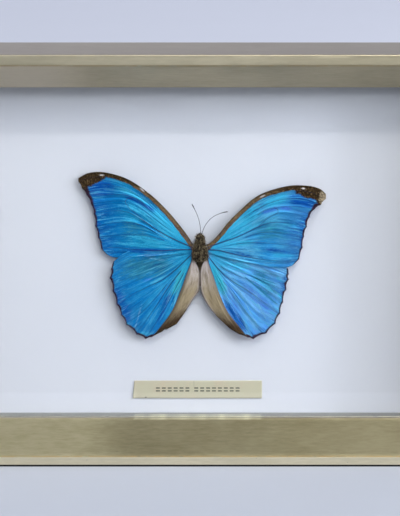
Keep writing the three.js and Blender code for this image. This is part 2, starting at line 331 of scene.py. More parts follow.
def inside(polygon: tuple, places: Array) -> Array:
    """Measures how far flat places are from a polygon's border.

    Args:
        polygon: The polygon's corners.
        places: The places, in an array whose last axis is X and Z.

    Returns:
        The distances, positive inside the polygon and negative outside it.
    """
    corners = np.array(polygon, float)
    flat = places.reshape(-1, 2)
    nearest = np.full(len(flat), 1e9)
    within = np.zeros(len(flat), bool)
    for a, b in zip(corners, np.roll(corners, -1, axis=0)):
        nearest = np.minimum(nearest, distance_to(flat, a, b))
        crosses = (a[1] > flat[:, 1]) != (b[1] > flat[:, 1])
        rise = b[1] - a[1] if b[1] != a[1] else 1e-9
        within ^= crosses & (flat[:, 0] < a[0] + (b[0] - a[0]) * (flat[:, 1] - a[1]) / rise)
    return np.where(within, nearest, -nearest).reshape(places.shape[:-1])


def distance_to(places: Array, start: Array, end: Array) -> Array:
    """Distance of flat places to a straight stretch."""
    way = end - start
    share = np.clip(((places - start) @ way) / (way @ way + 1e-12), 0, 1)
    return np.linalg.norm(places - (start + share[..., None] * way), axis=-1)


class Ripple:
    """Smooth, repeatable unevenness, as a sum of sines."""

    def __init__(self, seed: int, scale: float, octaves: int = 4) -> None:
        """Draws the waves.

        Args:
            seed: Fixes the draw.
            scale: The longest wave's length, in the units of the points.
            octaves: How many times the waves halve in length.
        """
        draw = np.random.default_rng(seed)
        self.waves = []
        for octave in range(octaves):
            for _ in range(5):
                angle = draw.uniform(0, 2 * math.pi)
                number = 2 * math.pi / scale * 2**octave * draw.uniform(0.7, 1.3)
                phase = draw.uniform(0, 2 * math.pi)
                self.waves.append((math.cos(angle) * number, math.sin(angle) * number, phase, 0.55**octave))
        self.total = sum(wave[3] for wave in self.waves) ** 0.5

    def __call__(self, u: Array, v: Array) -> Array:
        """Gives the unevenness at points u, v, mostly between -1 and 1."""
        value = sum(size * np.sin(a * u + b * v + phase) for a, b, phase, size in self.waves)
        return value / self.total


# -------- node trees


class Graph:
    """A node tree with short calls for the nodes that the finishes share."""

    def __init__(self, tree: Tree) -> None:
        """Takes the tree that the calls add to."""
        self.tree = tree

    def feed(self, node: Node, values: dict) -> Node:
        """Links or sets a node's inputs.

        Args:
            node: The node.
            values: By an input's name or number, the socket to link it to or its own value.

        Returns:
            The same node.
        """
        for key, value in values.items():
            socket = node.inputs[key]
            if isinstance(value, Socket):
                self.tree.links.new(value, socket)
            elif isinstance(value, tuple) and len(value) == 3 and socket.type == "RGBA":
                socket.default_value = (*value, 1.0)
            else:
                socket.default_value = value
        return node

    def add(self, kind: str, values: dict | None = None, **settings: object) -> Node:
        """Adds a node.

        Args:
            kind: The node's type.
            values: What its inputs are linked or set to.
            settings: Its properties.

        Returns:
            The new node.
        """
        made = self.tree.nodes.new(kind)
        for key, value in settings.items():
            setattr(made, key, value)
        return self.feed(made, values or {})

    def math(self, operation: str, a: object, b: object = 0.0) -> Socket:
        """Adds a Math node and gives its result."""
        return self.add("ShaderNodeMath", {0: a, 1: b}, operation=operation).outputs[0]

    def times(self, a: object, b: object) -> Socket:
        """Multiplies two values."""
        return self.math("MULTIPLY", a, b)

    def total(self, *parts: tuple) -> Socket:
        """Adds up values.

        Args:
            parts: Each value with its weight.

        Returns:
            The sum.
        """
        weighed = [value if weight == 1 else self.times(value, weight) for value, weight in parts]
        result = weighed[0]
        for value in weighed[1:]:
            result = self.math("ADD", result, value)
        return result

    def vector(self, operation: str, a: object, b: object) -> Socket:
        """Adds a Vector Math node and gives its vector; for SCALE, b is a number."""
        second = "Scale" if operation == "SCALE" else 1
        return self.add("ShaderNodeVectorMath", {0: a, second: b}, operation=operation).outputs[0]

    def mix(self, factor: object, a: object, b: object, blend: str = "MIX") -> Socket:
        """Mixes two colours and gives the result."""
        settings = {"data_type": "RGBA", "blend_type": blend, "clamp_factor": True}
        return self.add("ShaderNodeMix", {0: factor, 6: a, 7: b}, **settings).outputs[2]

    def range(self, value: object, low: float, high: float, start: float = 0.0, end: float = 1.0) -> Socket:
        """Maps low..high smoothly to start..end, and keeps the result between them."""
        values = dict(enumerate((value, low, high, start, end)))
        return self.add("ShaderNodeMapRange", values, interpolation_type="SMOOTHSTEP").outputs[0]

    def noise(self, vector: object, scale: object, detail: float = 4.0, rough: float = 0.55) -> Socket:
        """Adds a noise and gives its value."""
        values = {"Vector": vector, "Scale": scale, "Detail": detail, "Roughness": rough}
        return self.add("ShaderNodeTexNoise", values).outputs[0]

    def stretch(self, vector: object, scale: Triple, offset: Triple = (0.0, 0.0, 0.0)) -> Socket:
        """Scales and moves a pattern's coordinates."""
        values = {"Vector": vector, "Location": offset, "Scale": scale}
        return self.add("ShaderNodeMapping", values).outputs[0]

    def split(self, vector: object) -> list:
        """Gives the three numbers of a vector."""
        return list(self.add("ShaderNodeSeparateXYZ", {0: vector}).outputs)

    def ramp(self, factor: object, stops: list) -> Socket:
        """Turns a value into a colour.

        Args:
            factor: The value.
            stops: Each stop's place and colour.

        Returns:
            The colour.
        """
        made = self.add("ShaderNodeValToRGB", {0: factor})
        band = made.color_ramp
        while len(band.elements) < len(stops):
            band.elements.new(0.5)
        for element, (place, colour) in zip(band.elements, stops):
            element.position = place
            element.color = (*colour, 1.0)
        return made.outputs[0]

    def mark(self, name: str) -> Socket:
        """Gives a vertex number of the piece by name."""
        return self.add("ShaderNodeAttribute", attribute_name=name).outputs["Fac"]

    def uv(self, name: str) -> Socket:
        """Gives a UV map of the piece by name."""
        return self.add("ShaderNodeUVMap", uv_map=name).outputs[0]

    def place(self) -> Socket:
        """Gives the place on the piece, in metres."""
        return self.add("ShaderNodeTexCoord").outputs["Object"]

    def group(self, tree: Tree, **values: object) -> Node:
        """Adds a shared effect and feeds its inputs by name."""
        return self.add("ShaderNodeGroup", values, node_tree=tree)

    def bump(self, height: object, strength: float, distance: float) -> Socket:
        """Turns a height into a normal; distance is in metres."""
        values = {"Strength": strength, "Distance": distance, "Height": height}
        return self.add("ShaderNodeBump", values).outputs[0]


FLOAT, VECTOR, COLOUR = "NodeSocketFloat", "NodeSocketVector", "NodeSocketColor"


def new_group(name: str, inputs: list, outputs: list) -> tuple:
    """Starts a shader node group.

    Args:
        name: The effect's name.
        inputs: Each input's name, socket kind and default value.
        outputs: Each output's name and socket kind.

    Returns:
        The group's graph, the sockets of its inputs, and its output node.
    """
    tree = bpy.data.node_groups.new(name, "ShaderNodeTree")
    for title, kind, default in inputs:
        socket = tree.interface.new_socket(title, in_out="INPUT", socket_type=kind)
        if default is not None:
            socket.default_value = default
    for title, kind in outputs:
        tree.interface.new_socket(title, in_out="OUTPUT", socket_type=kind)
    g = Graph(tree)
    return g, g.add("NodeGroupInput").outputs, g.add("NodeGroupOutput")


def build_streaks() -> Tree:
    """Makes fine lines that run along U, as a brush or a grain leaves them, and broader bands.

    Returns:
        The shared effect.
    """
    inputs = [("Vector", VECTOR, None), ("Fine", FLOAT, 4000.0), ("Along", FLOAT, 30.0)]
    g, given, out = new_group("streaks", inputs, [("Lines", FLOAT), ("Bands", FLOAT)])
    u, v, _ = g.split(given["Vector"])
    for title, share, detail in (("Lines", 1.0, 3.0), ("Bands", 0.15, 4.0)):
        along = g.times(u, g.times(given["Along"], 0.4 + 0.6 * share))
        across = g.times(v, g.times(given["Fine"], share))
        joined = g.add("ShaderNodeCombineXYZ", {0: along, 1: across}).outputs[0]
        g.feed(out, {title: g.noise(joined, 1.0, detail, 0.6)})
    return g.tree


def build_mottle() -> Tree:
    """Makes a colour's soft, uneven patches, and the small height that goes with them.

    Returns:
        The shared effect.
    """
    white, grey = (1, 1, 1, 1), (0.5, 0.5, 0.5, 1)
    inputs = [("Vector", VECTOR, None), ("Colour", COLOUR, white), ("Stain", COLOUR, grey)]
    inputs += [("Scale", FLOAT, 60.0), ("Amount", FLOAT, 0.3)]
    g, given, out = new_group("mottle", inputs, [("Colour", COLOUR), ("Height", FLOAT)])
    patches = g.noise(given["Vector"], given["Scale"], 5.0, 0.6)
    spread = g.times(g.range(patches, 0.35, 0.7), given["Amount"])
    fine = g.noise(given["Vector"], g.times(given["Scale"], 24.0), 3.0, 0.6)
    colour = g.mix(spread, given["Colour"], given["Stain"])
    g.feed(out, {"Colour": colour, "Height": g.total((patches, 0.4), (fine, 0.6))})
    return g.tree


STREAKS = build_streaks()
MOTTLE = build_mottle()


def shade(red: int, green: int, blue: int) -> Triple:
    """Gives the linear colour of a display colour of 0 to 255 a channel."""
    channels = (red / 255, green / 255, blue / 255)
    return tuple(c / 12.92 if c <= 0.04045 else ((c + 0.055) / 1.055) ** 2.4 for c in channels)


# -------- finishes


class Finish:
    """What all finishes share; each kind says what its shader's inputs get."""

    name: str

    def build(self) -> Material:
        """Makes the material.

        Returns:
            The material.
        """
        made = bpy.data.materials.new(self.name)
        made.use_nodes = True
        g = Graph(made.node_tree)
        g.feed(made.node_tree.nodes["Principled BSDF"], self.inputs(g))
        return made

    def inputs(self, g: Graph) -> dict:
        """Adds the finish's nodes.

        Args:
            g: The material's graph.

        Returns:
            By the name of each input of the shader, what it gets.
        """
        raise NotImplementedError


@dataclass(frozen=True)
class Leaf(Finish):
    """Silver-gold metal leaf over a red-brown ground, brushed along the rail and rubbed at its edges, with
    painted light and shade.
    """

    name: str = "leaf"
    slope_light: Triple = shade(196, 186, 150)
    slope_dark: Triple = shade(162, 152, 116)
    # The lip's leaf is burnished lighter, and this also stands in as a painted highlight on its front face.
    lip: Triple = shade(244, 232, 200)
    side: Triple = shade(178, 166, 152)
    ground: Triple = shade(180, 146, 84)
    # Rubbed leaf on the edges, painted lighter as an edge highlight.
    rub_and_highlight_tone: Triple = shade(236, 222, 184)
    nick: Triple = shade(84, 76, 58)
    # Painted reflection of the label on the bottom rail's sight edge and strip.
    painted_label_reflection: Triple = shade(255, 250, 214)
    # Painted contact shadow where the bottom rail meets the table.
    painted_contact_shadow: Triple = shade(12, 9, 10)
    # Painted shade: the leaf is multiplied darker by this colour.
    painted_shade: Triple = shade(212, 210, 206)
    # Painted reflection: the top rail's slope is mixed towards this paler, greyer leaf.
    painted_top_reflection: Triple = shade(208, 196, 178)

    def inputs(self, g: Graph) -> dict:
        """Gives the shader's inputs by name."""
        place = g.uv("rail")
        brush = g.group(STREAKS, Vector=place, Fine=3400.0, Along=150.0).outputs["Lines"]
        blotch = g.noise(g.stretch(place, (16.0, 40.0, 1.0)), 1.0, 4.0, 0.6)
        dabs = g.noise(g.stretch(place, (140.0, 700.0, 1.0)), 1.0, 4.0, 0.65)
        broken = g.noise(g.stretch(place, (220.0, 900.0, 1.0)), 1.0, 4.0, 0.7)
        nicks = g.noise(g.stretch(place, (330.0, 1300.0, 1.0), (3.0, 1.0, 0.0)), 1.0, 2.0, 0.5)
        tone = g.total((blotch, 0.5), (dabs, 0.3), (brush, 0.2))
        slope = g.mix(g.range(tone, 0.34, 0.66), self.slope_dark, self.slope_light)
        # Painted reflection: the top rail's leaf away from the lip is made paler and greyer.
        slope = g.mix(g.mark("painted_top_reflection"), slope, self.painted_top_reflection)
        # The lip is painted lighter: burnished leaf with a painted highlight on its front face.
        colour = g.mix(g.mark("lip"), slope, g.mix(g.range(tone, 0.4, 0.6, 0, 0.3), self.lip, slope))
        side_tone = g.mix(g.range(tone, 0.35, 0.65, 0, 0.35), self.side, slope)
        colour = g.mix(g.mark("side"), colour, side_tone)
        # The rubbed edges are worn and also painted lighter, as a painted highlight where the edges catch
        # light.
        rub_and_highlight = g.times(g.range(broken, 0.42, 0.56), g.mark("rub_and_highlight"))
        colour = g.mix(g.times(rub_and_highlight, 0.8), colour, self.rub_and_highlight_tone)
        # Painted reflection: the label's bright reflection on the bottom sight edge and strip.
        colour = g.mix(g.mark("painted_label_reflection"), colour, self.painted_label_reflection)
        # Painted contact shadow: the bottom rail's lower front edge is painted near black.
        colour = g.mix(g.mark("painted_contact_shadow"), colour, self.painted_contact_shadow)
        # Painted shade: the leaf darkens towards the right, in the bottom rail's middle and on the top lip.
        colour = g.mix(g.mark("painted_shade"), colour, g.mix(1.0, colour, self.painted_shade, "MULTIPLY"))
        bole = g.times(g.range(broken, 0.62, 0.48), g.mark("bole"))
        colour = g.mix(g.times(bole, 0.75), colour, self.ground)
        nick = g.range(nicks, 0.735, 0.775)
        bare = g.math("MAXIMUM", g.math("MAXIMUM", bole, nick), g.mark("painted_contact_shadow"))
        height = g.total((brush, 1), (dabs, 0.5), (bare, -0.5))
        tangent = g.add("ShaderNodeTangent", direction_type="UV_MAP", uv_map="rail").outputs[0]
        return {
            "Base Color": g.mix(g.times(nick, 0.6), colour, self.nick),
            "Metallic": g.range(bare, 0, 1.0, 0.9, 0.25),
            "Roughness": g.range(tone, 0.3, 0.7, 0.46, 0.36),
            "Anisotropic": 0.5,
            "Anisotropic Rotation": 0.25,
            "Tangent": tangent,
            "Normal": g.bump(height, 0.22, 0.00008),
        }


@dataclass(frozen=True)
class Mottled(Finish):
    """A dull material with soft patches: paper, board, hardboard or painted wood."""

    name: str
    colour: Triple
    stain: Triple
    scale: float = 60.0
    amount: float = 0.3
    rough: float = 0.8
    grain: float = 0.00004
    relief: float = 0.5
    rough_spread: Pair = (-0.08, 0.05)
    metallic: float = 0.0

    def inputs(self, g: Graph) -> dict:
        """Gives the shader's inputs by name."""
        patches = {"Colour": self.colour, "Stain": self.stain, "Scale": self.scale, "Amount": self.amount}
        mottle = g.group(MOTTLE, Vector=g.place(), **patches).outputs
        low, high = (self.rough + part for part in self.rough_spread)
        return {
            "Base Color": mottle["Colour"],
            "Metallic": self.metallic,
            "Roughness": g.range(mottle["Height"], 0.2, 0.8, low, high),
            "Normal": g.bump(mottle["Height"], self.relief, self.grain),
        }


@dataclass(frozen=True)
class Metal(Mottled):
    """A plain small metal part, a little dulled."""

    scale: float = 300.0
    amount: float = 0.6
    rough: float = 0.35
    grain: float = 0.00003
    relief: float = 0.3
    rough_spread: Pair = (0.0, 0.2)
    metallic: float = 1.0


@dataclass(frozen=True)
class Glass(Finish):
    """Clear float glass."""

    name: str = "clear_glass"
    index: float = 1.5

    def inputs(self, g: Graph) -> dict:
        """Gives the shader's inputs by name."""
        haze = g.noise(g.place(), 40.0, 3.0, 0.5)
        return {
            "Base Color": (1.0, 1.0, 1.0),
            "Transmission Weight": 1.0,
            "IOR": self.index,
            "Roughness": g.range(haze, 0.4, 0.8, 0, 0.01),
        }


@dataclass(frozen=True)
class Fibre(Finish):
    """Chitin and hair: brown, with lighter hairs among the dark."""

    name: str
    dark: Triple
    mid: Triple
    light: Triple
    clump: float = 900.0
    rough: float = 0.6

    def inputs(self, g: Graph) -> dict:
        """Gives the shader's inputs by name."""
        clumps = g.noise(g.place(), self.clump, 3.0, 0.6)
        grain = g.noise(g.place(), 5200.0, 2.0, 0.6)
        tone = g.total((clumps, 0.6), (g.mark("tone"), 0.4))
        return {
            "Base Color": g.ramp(tone, [(0.4, self.dark), (0.56, self.mid), (0.7, self.light)]),
            "Roughness": g.range(clumps, 0.3, 0.7, self.rough, self.rough + 0.2),
            "Specular IOR Level": 0.2,
            "Normal": g.bump(grain, 0.4, 0.00006),
        }


class Tint(Enum):
    """What the scales' blue leans to, where the wing is seen at another slant, laid on as a painted sheen."""

    CYAN = "cyan"
    DEEP = "deep"
    VIOLET = "violet"
    TEAL = "teal"
    TURQUOISE = "turquoise"
    PALE = "pale"


@dataclass(frozen=True)
class Silk:
    """The scales' patterns: streaks of broad rays and of fine lines, and the speckle of single scales."""

    g: Graph
    rays: object
    hair: object
    grain: Socket

    @classmethod
    def lay(cls, g: Graph) -> "Silk":
        """Adds the patterns to a material."""
        rays = g.group(STREAKS, Vector=g.uv("wing"), Fine=22.0, Along=5.0).outputs
        hair = g.group(STREAKS, Vector=g.uv("wing"), Fine=70.0, Along=14.0).outputs
        return cls(g, rays, hair, g.noise(g.place(), 1500.0, 3.0, 0.75))


@dataclass(frozen=True)
class WingScales(Finish):
    """Iridescent scales: blue between dark edges, with a silky fold at the inner margin."""

    name: str
    azure: Triple
    light: Triple
    outer_deep: float
    teal: Triple = shade(48, 140, 172)
    cyan: Triple = shade(62, 196, 236)
    violet: Triple = shade(88, 136, 240)
    turquoise: Triple = shade(72, 212, 226)
    deep: Triple = shade(0, 86, 182)
    pale: Triple = shade(144, 220, 246)
    dark: Triple = shade(46, 33, 18)
    speck: Triple = shade(158, 128, 84)
    # Painted shade and painted highlight of the wrinkles, creases and hairs.
    low: Triple = shade(0, 66, 148)
    high: Triple = shade(96, 210, 242)
    basal: Triple = shade(50, 190, 236)
    costal: Triple = shade(138, 112, 80)
    purple: Triple = shade(58, 36, 62)
    vein: Triple = shade(6, 34, 88)
    spot: Triple = shade(238, 230, 226)
    worn: Triple = shade(190, 172, 140)
    fold_pale: Triple = shade(196, 184, 178)
    fold_mid: Triple = shade(168, 151, 119)
    fold_low: Triple = shade(58, 40, 22)

    def inputs(self, g: Graph) -> dict:
        """Gives the shader's inputs by name."""
        silk = Silk.lay(g)
        colour = g.mix(g.mark("fold"), self.blue(silk), self.fold(silk))
        colour = g.mix(g.mark("dark"), colour, self.brown(silk))
        colour = g.mix(g.mark("vein"), colour, self.vein)
        dull = g.math("MAXIMUM", g.mark("dark"), g.mark("fold"))
        ridges = g.times(silk.rays["Lines"], g.mark("crinkle"))
        height = g.total((silk.hair["Lines"], 0.5), (silk.grain, 0.5), (ridges, 1.6))
        return {
            "Base Color": g.mix(g.mark("spot"), colour, self.spot),
            "Metallic": g.range(dull, 0.2, 0.8, 0.45, 0.0),
            "Roughness": g.range(dull, 0.2, 0.8, 0.45, 0.75),
            "Specular IOR Level": 0.03,
            "Normal": g.bump(height, 0.7, 0.00018),
        }

    def blue(self, silk: Silk) -> Socket:
        """Lays the blue: painted sheens, the root's lighter fan, and the fine creases with their painted
        highlights and shade, one over the other.

        Args:
            silk: The material's patterns.

        Returns:
            The colour.
        """
        g, rays, hair, grain = silk.g, silk.rays, silk.hair, silk.grain
        creases = g.group(STREAKS, Vector=g.uv("wing"), Fine=11.0, Along=3.2).outputs["Lines"]
        blue = g.mix(g.range(rays["Bands"], 0.35, 0.65, 0, 0.8), self.azure, self.light)
        lines = g.total((rays["Lines"], 0.6), (grain, 0.4))
        crisp = g.range(lines, 0.4, 0.6)
        for tint in (Tint.TEAL, Tint.CYAN, Tint.VIOLET, Tint.TURQUOISE, Tint.DEEP, Tint.PALE):
            leaning = g.mark(tint.value)
            broken = g.range(g.total((leaning, 1), (crisp, 0.55)), 0.3, 1.1)
            blue = g.mix(g.times(broken, g.range(leaning, 0, 0.4)), blue, getattr(self, tint.value))
        far = g.times(g.range(g.mark("down"), 0.62, 0.92), g.range(rays["Bands"], 0.3, 0.6))
        near = g.times(g.mark("root"), g.range(lines, 0.4, 0.58, 0.4, 1))
        rough = g.range(g.mark("crinkle"), 0.1, 0.7, 0.5, 1)
        creased = g.total((creases, 0.7), (lines, 0.3))
        # Painted highlight on the wrinkles' crests and painted shade in their dips, which the bump also
        # raises and lowers.
        crest = g.times(g.range(rays["Lines"], 0.52, 0.72), g.mark("crinkle"))
        painted_dip_shade = g.times(g.range(rays["Lines"], 0.46, 0.3), g.mark("crinkle"))
        for factor, tone in (
            (g.times(far, self.outer_deep), self.deep),
            (near, self.basal),
            # Painted highlights and shade along the fine creases and hair lines.
            (g.times(g.range(creased, 0.52, 0.6, 0, 0.75), rough), self.high),
            (g.times(g.range(creased, 0.48, 0.4, 0, 0.6), rough), self.low),
            (g.range(hair["Lines"], 0.56, 0.68, 0, 0.3), self.high),
            (g.range(hair["Lines"], 0.45, 0.34, 0, 0.35), self.low),
            # Painted shade in the hollows along the veins.
            (g.times(g.mark("painted_vein_shade"), 0.35), self.low),
            # Painted highlight on the crests, then painted shade in the dips.
            (g.times(crest, 0.8), self.pale),
            (g.times(painted_dip_shade, 0.6), self.deep),
            (g.range(grain, 0.55, 0.8, 0, 0.15), self.pale),
            (g.range(grain, 0.45, 0.2, 0, 0.3), self.deep),
        ):
            blue = g.mix(factor, blue, tone)
        return blue

    def brown(self, silk: Silk) -> Socket:
        """Lays the dark edges' colour: speckled, worn pale at a tip, purple at the rim, gilt in front.

        Args:
            silk: The material's patterns.

        Returns:
            The colour.
        """
        g, hair, grain = silk.g, silk.hair, silk.grain
        brown = g.mix(g.range(grain, 0.5, 0.72, 0, 0.8), self.dark, self.speck)
        streaky = g.range(g.total((hair["Lines"], 1), (grain, 1)), 0.9, 1.15, 0.25, 0.95)
        brown = g.mix(g.times(g.mark("worn"), streaky), brown, self.worn)
        brown = g.mix(g.mark("margin"), brown, g.mix(0.6, self.dark, self.purple))
        gilt = g.times(g.mark("gilt"), g.range(grain, 0.35, 0.6, 0.2, 0.85))
        return g.mix(gilt, brown, self.costal)

    def fold(self, silk: Silk) -> Socket:
        """Lays the inner margin's colour: silky pale at the root, brown at the end, lined lengthwise.

        Args:
            silk: The material's patterns.

        Returns:
            The colour.
        """
        g, hair = silk.g, silk.hair
        stops = [(0.14, self.fold_pale), (0.45, self.fold_mid), (0.6, self.fold_mid), (0.86, self.fold_low)]
        blurred = g.total((g.mark("down"), 1), (g.range(hair["Lines"], 0.35, 0.65, -0.08, 0.08), 1))
        colour = g.ramp(blurred, stops)
        for factor, tone in (
            # Painted shade on the fold's outer side, next to the blue.
            (g.times(g.mark("outer"), 0.6), self.fold_low),
            (g.times(g.range(hair["Bands"], 0.42, 0.68), 0.7), g.mix(0.5, self.fold_mid, self.fold_low)),
            (g.range(hair["Lines"], 0.5, 0.75, 0, 0.3), self.fold_pale),
            # Painted highlight along the fold's raised inner rim.
            (g.times(g.mark("rim"), 0.8), self.fold_pale),
            (g.range(blurred, 0.75, 0.96, 0, 0.85), self.fold_low),
            (g.times(g.mark("edge"), 0.8), self.fold_low),
        ):
            colour = g.mix(factor, colour, tone)
        return colour


# -------- the wooden frame


class Side(Enum):
    """A side of the opening, as quarter turns from the bottom."""

    BOTTOM = 0
    LEFT = 1
    TOP = 2
    RIGHT = 3

    @property
    def title(self) -> str:
        """The side's name as the nodes have it."""
        return self.name.lower()

    @property
    def upright(self) -> bool:
        """Whether this side stands."""
        return self in (Side.LEFT, Side.RIGHT)

    @property
    def half_along(self) -> float:
        """Half the opening's length along this side."""
        return SPACE.half_high if self.upright else SPACE.jamb_x

    @property
    def half_across(self) -> float:
        """Half the opening's length across this side."""
        return SPACE.jamb_x if self.upright else SPACE.half_high


@dataclass(frozen=True)
class Stretch:
    """A stretch of a rail's section: its points, and how much it is lip, side, rubbed with a painted
    highlight, bole, painted label reflection, painted contact shadow.

    Finish 0 is the leaf and 1 the bare wood.
    """

    points: list
    lip: float = 0.0
    side: float = 0.0
    rub_and_highlight: float = 0.0
    bole: float = 0.0
    painted_label_reflection: float = 0.0
    painted_contact_shadow: float = 0.0
    finish: int = 0


def line(start: Pair, end: Pair, count: int) -> list:
    """Evenly spaced points from start to end."""
    return [tuple(p) for p in np.linspace(start, end, count)]


def arc(out: float, lift: float, radius: float, start: float, end: float, steps: int) -> list:
    """Points round a corner of a section, between two angles in degrees."""
    angles = np.radians(np.linspace(start, end, steps + 1))
    return [(out + radius * math.cos(a), lift + radius * math.sin(a)) for a in angles]


@dataclass
class MitredBar:
    """A bar along one side of the opening, with its ends cut at 45 degrees."""

    side: Side
    stretches: list
    steps: int = 190
    cut_back: float = 0.05 * MM
    wobble: float = 0.05 * MM
    wear_and_painted_light: tuple = ("lip", "side", "rub_and_highlight", "bole", "painted_label_reflection", "painted_contact_shadow")
    dulled: bool = True
    reflection_half: float = 31 * MM
    bottom_shade_span: Pair = (-62 * MM, -30 * MM)
    top_shade_span: Pair = (50 * MM, -100 * MM)
    top_reflection_span: Pair = (45 * MM, 80 * MM)

    def build(self, name: str) -> Piece:
        """Sweeps the section, closes the ends and lays out the brushing.

        Args:
            name: The piece's name.

        Returns:
            The bar, with its UV map and the numbers for its wear and for its painted light and shade.
        """
        section = np.array([p for s in self.stretches for p in s.points])
        out, lift = section[:, 0], section[:, 1]
        count = len(out)
        steps = np.linalg.norm(np.diff(np.vstack([section, section[:1]]), axis=0), axis=1)
        girth = np.concatenate([[0], np.cumsum(steps)])[:-1]
        worn = self.spread("rub_and_highlight") + self.spread("bole")
        uneven = Ripple(11 + self.side.value, 0.05)
        rows, uvs = [], []
        for share in np.linspace(-1, 1, self.steps + 1):
            along = share * (self.side.half_along + out - self.cut_back)
            bend = self.wobble * uneven(along, girth * 3) * (worn > 0.3)
            rows.append(np.column_stack([along, -(lift - np.abs(bend)), -(self.side.half_across + out)]))
            uvs.append(np.column_stack([along, girth]))
        faces = loft_faces(self.steps + 1, count)
        piece = new_piece(name, self.turned(np.vstack(rows)), faces)
        set_uv(piece, "rail", np.vstack(uvs) + np.array([self.side.value * 0.37, 0.0]))
        wear_and_painted_light = {title: np.tile(self.spread(title), self.steps + 1) for title in self.wear_and_painted_light}
        middle, round_it = np.vstack(uvs).T
        # The painted reflection of the label lies only across the label's width.
        label_span = 1 - ease(self.reflection_half, self.reflection_half + 2 * MM, np.abs(middle + MM))
        patchy = 0.7 + 0.3 * Ripple(41, 12 * MM, 3)(middle, 0.0)
        wear_and_painted_light["painted_label_reflection"] *= label_span * patchy
        # Painted shade, darker towards the right; the strips get none.
        wear_and_painted_light["painted_shade"] = self.painted_shade_share(middle, round_it, wear_and_painted_light["lip"]) * self.dulled
        # Painted reflection on the top rail, away from the lip.
        painted_top_reflection = (0.35 + 0.4 * ease(*self.top_reflection_span, middle)) * (1 - wear_and_painted_light["lip"])
        wear_and_painted_light["painted_top_reflection"] = painted_top_reflection * (self.side is Side.TOP)
        for title, values in wear_and_painted_light.items():
            set_attribute(piece, title, values)
        finish = self.spread("finish").astype(np.int32)
        indices = np.concatenate([np.tile(np.minimum(finish, np.roll(finish, -1)), self.steps), [1, 1]])
        piece.data.polygons.foreach_set("material_index", indices)
        flatten_caps(piece)
        return piece

    def painted_shade_share(self, along: Array, girth: Array, lip: Array) -> Array:
        """Works out the leaf's painted shade, which is least towards the lower left.

        Args:
            along: The points' places along the bar.
            girth: Their places round it.
            lip: How much they are part of the lip.

        Returns:
            A number from 0 to 1 for each point.
        """
        patchy = Ripple(53 + self.side.value, 0.12, 3)(along, girth * 2)
        if self.side is Side.BOTTOM:
            spread = ease(*self.bottom_shade_span, along) * (1 - lip)
        elif self.side is Side.TOP:
            right = ease(*self.top_shade_span, along)
            spread = 0.1 + 0.35 * right + lip * (0.4 + 0.15 * right)
        else:
            spread = np.full_like(along, 0.5 + 0.3 * (self.side is Side.RIGHT))
        return np.clip(spread * (0.9 + 0.12 * patchy), 0, 1)

    def spread(self, title: str) -> Array:
        """One of the stretches' numbers for each point of the section."""
        return np.concatenate([np.full(len(s.points), float(getattr(s, title))) for s in self.stretches])

    def turned(self, points: Array) -> Array:
        """Turns points from the bottom to this side.

        Args:
            points: The points of a bar under the opening's middle.

        Returns:
            The points in their places round the opening's middle.
        """
        angle = self.side.value * math.pi / 2
        cosine, sine = math.cos(angle), math.sin(angle)
        x = points[:, 0] * cosine + points[:, 2] * sine
        z = -points[:, 0] * sine + points[:, 2] * cosine
        return np.column_stack([x, points[:, 1], z]) + np.array(SPACE.centre)


def flatten_caps(piece: Piece) -> None:
    """Cuts end caps into triangles and shades them flat, with a crisp border.

    Args:
        piece: The swept piece.
    """
    with editing(piece.data) as grid:
        caps = [face for face in grid.faces if len(face.verts) > 4]
        for face in caps:
            face.smooth = False
            for edge in face.edges:
                edge.smooth = False
        bmesh.ops.triangulate(grid, faces=caps)


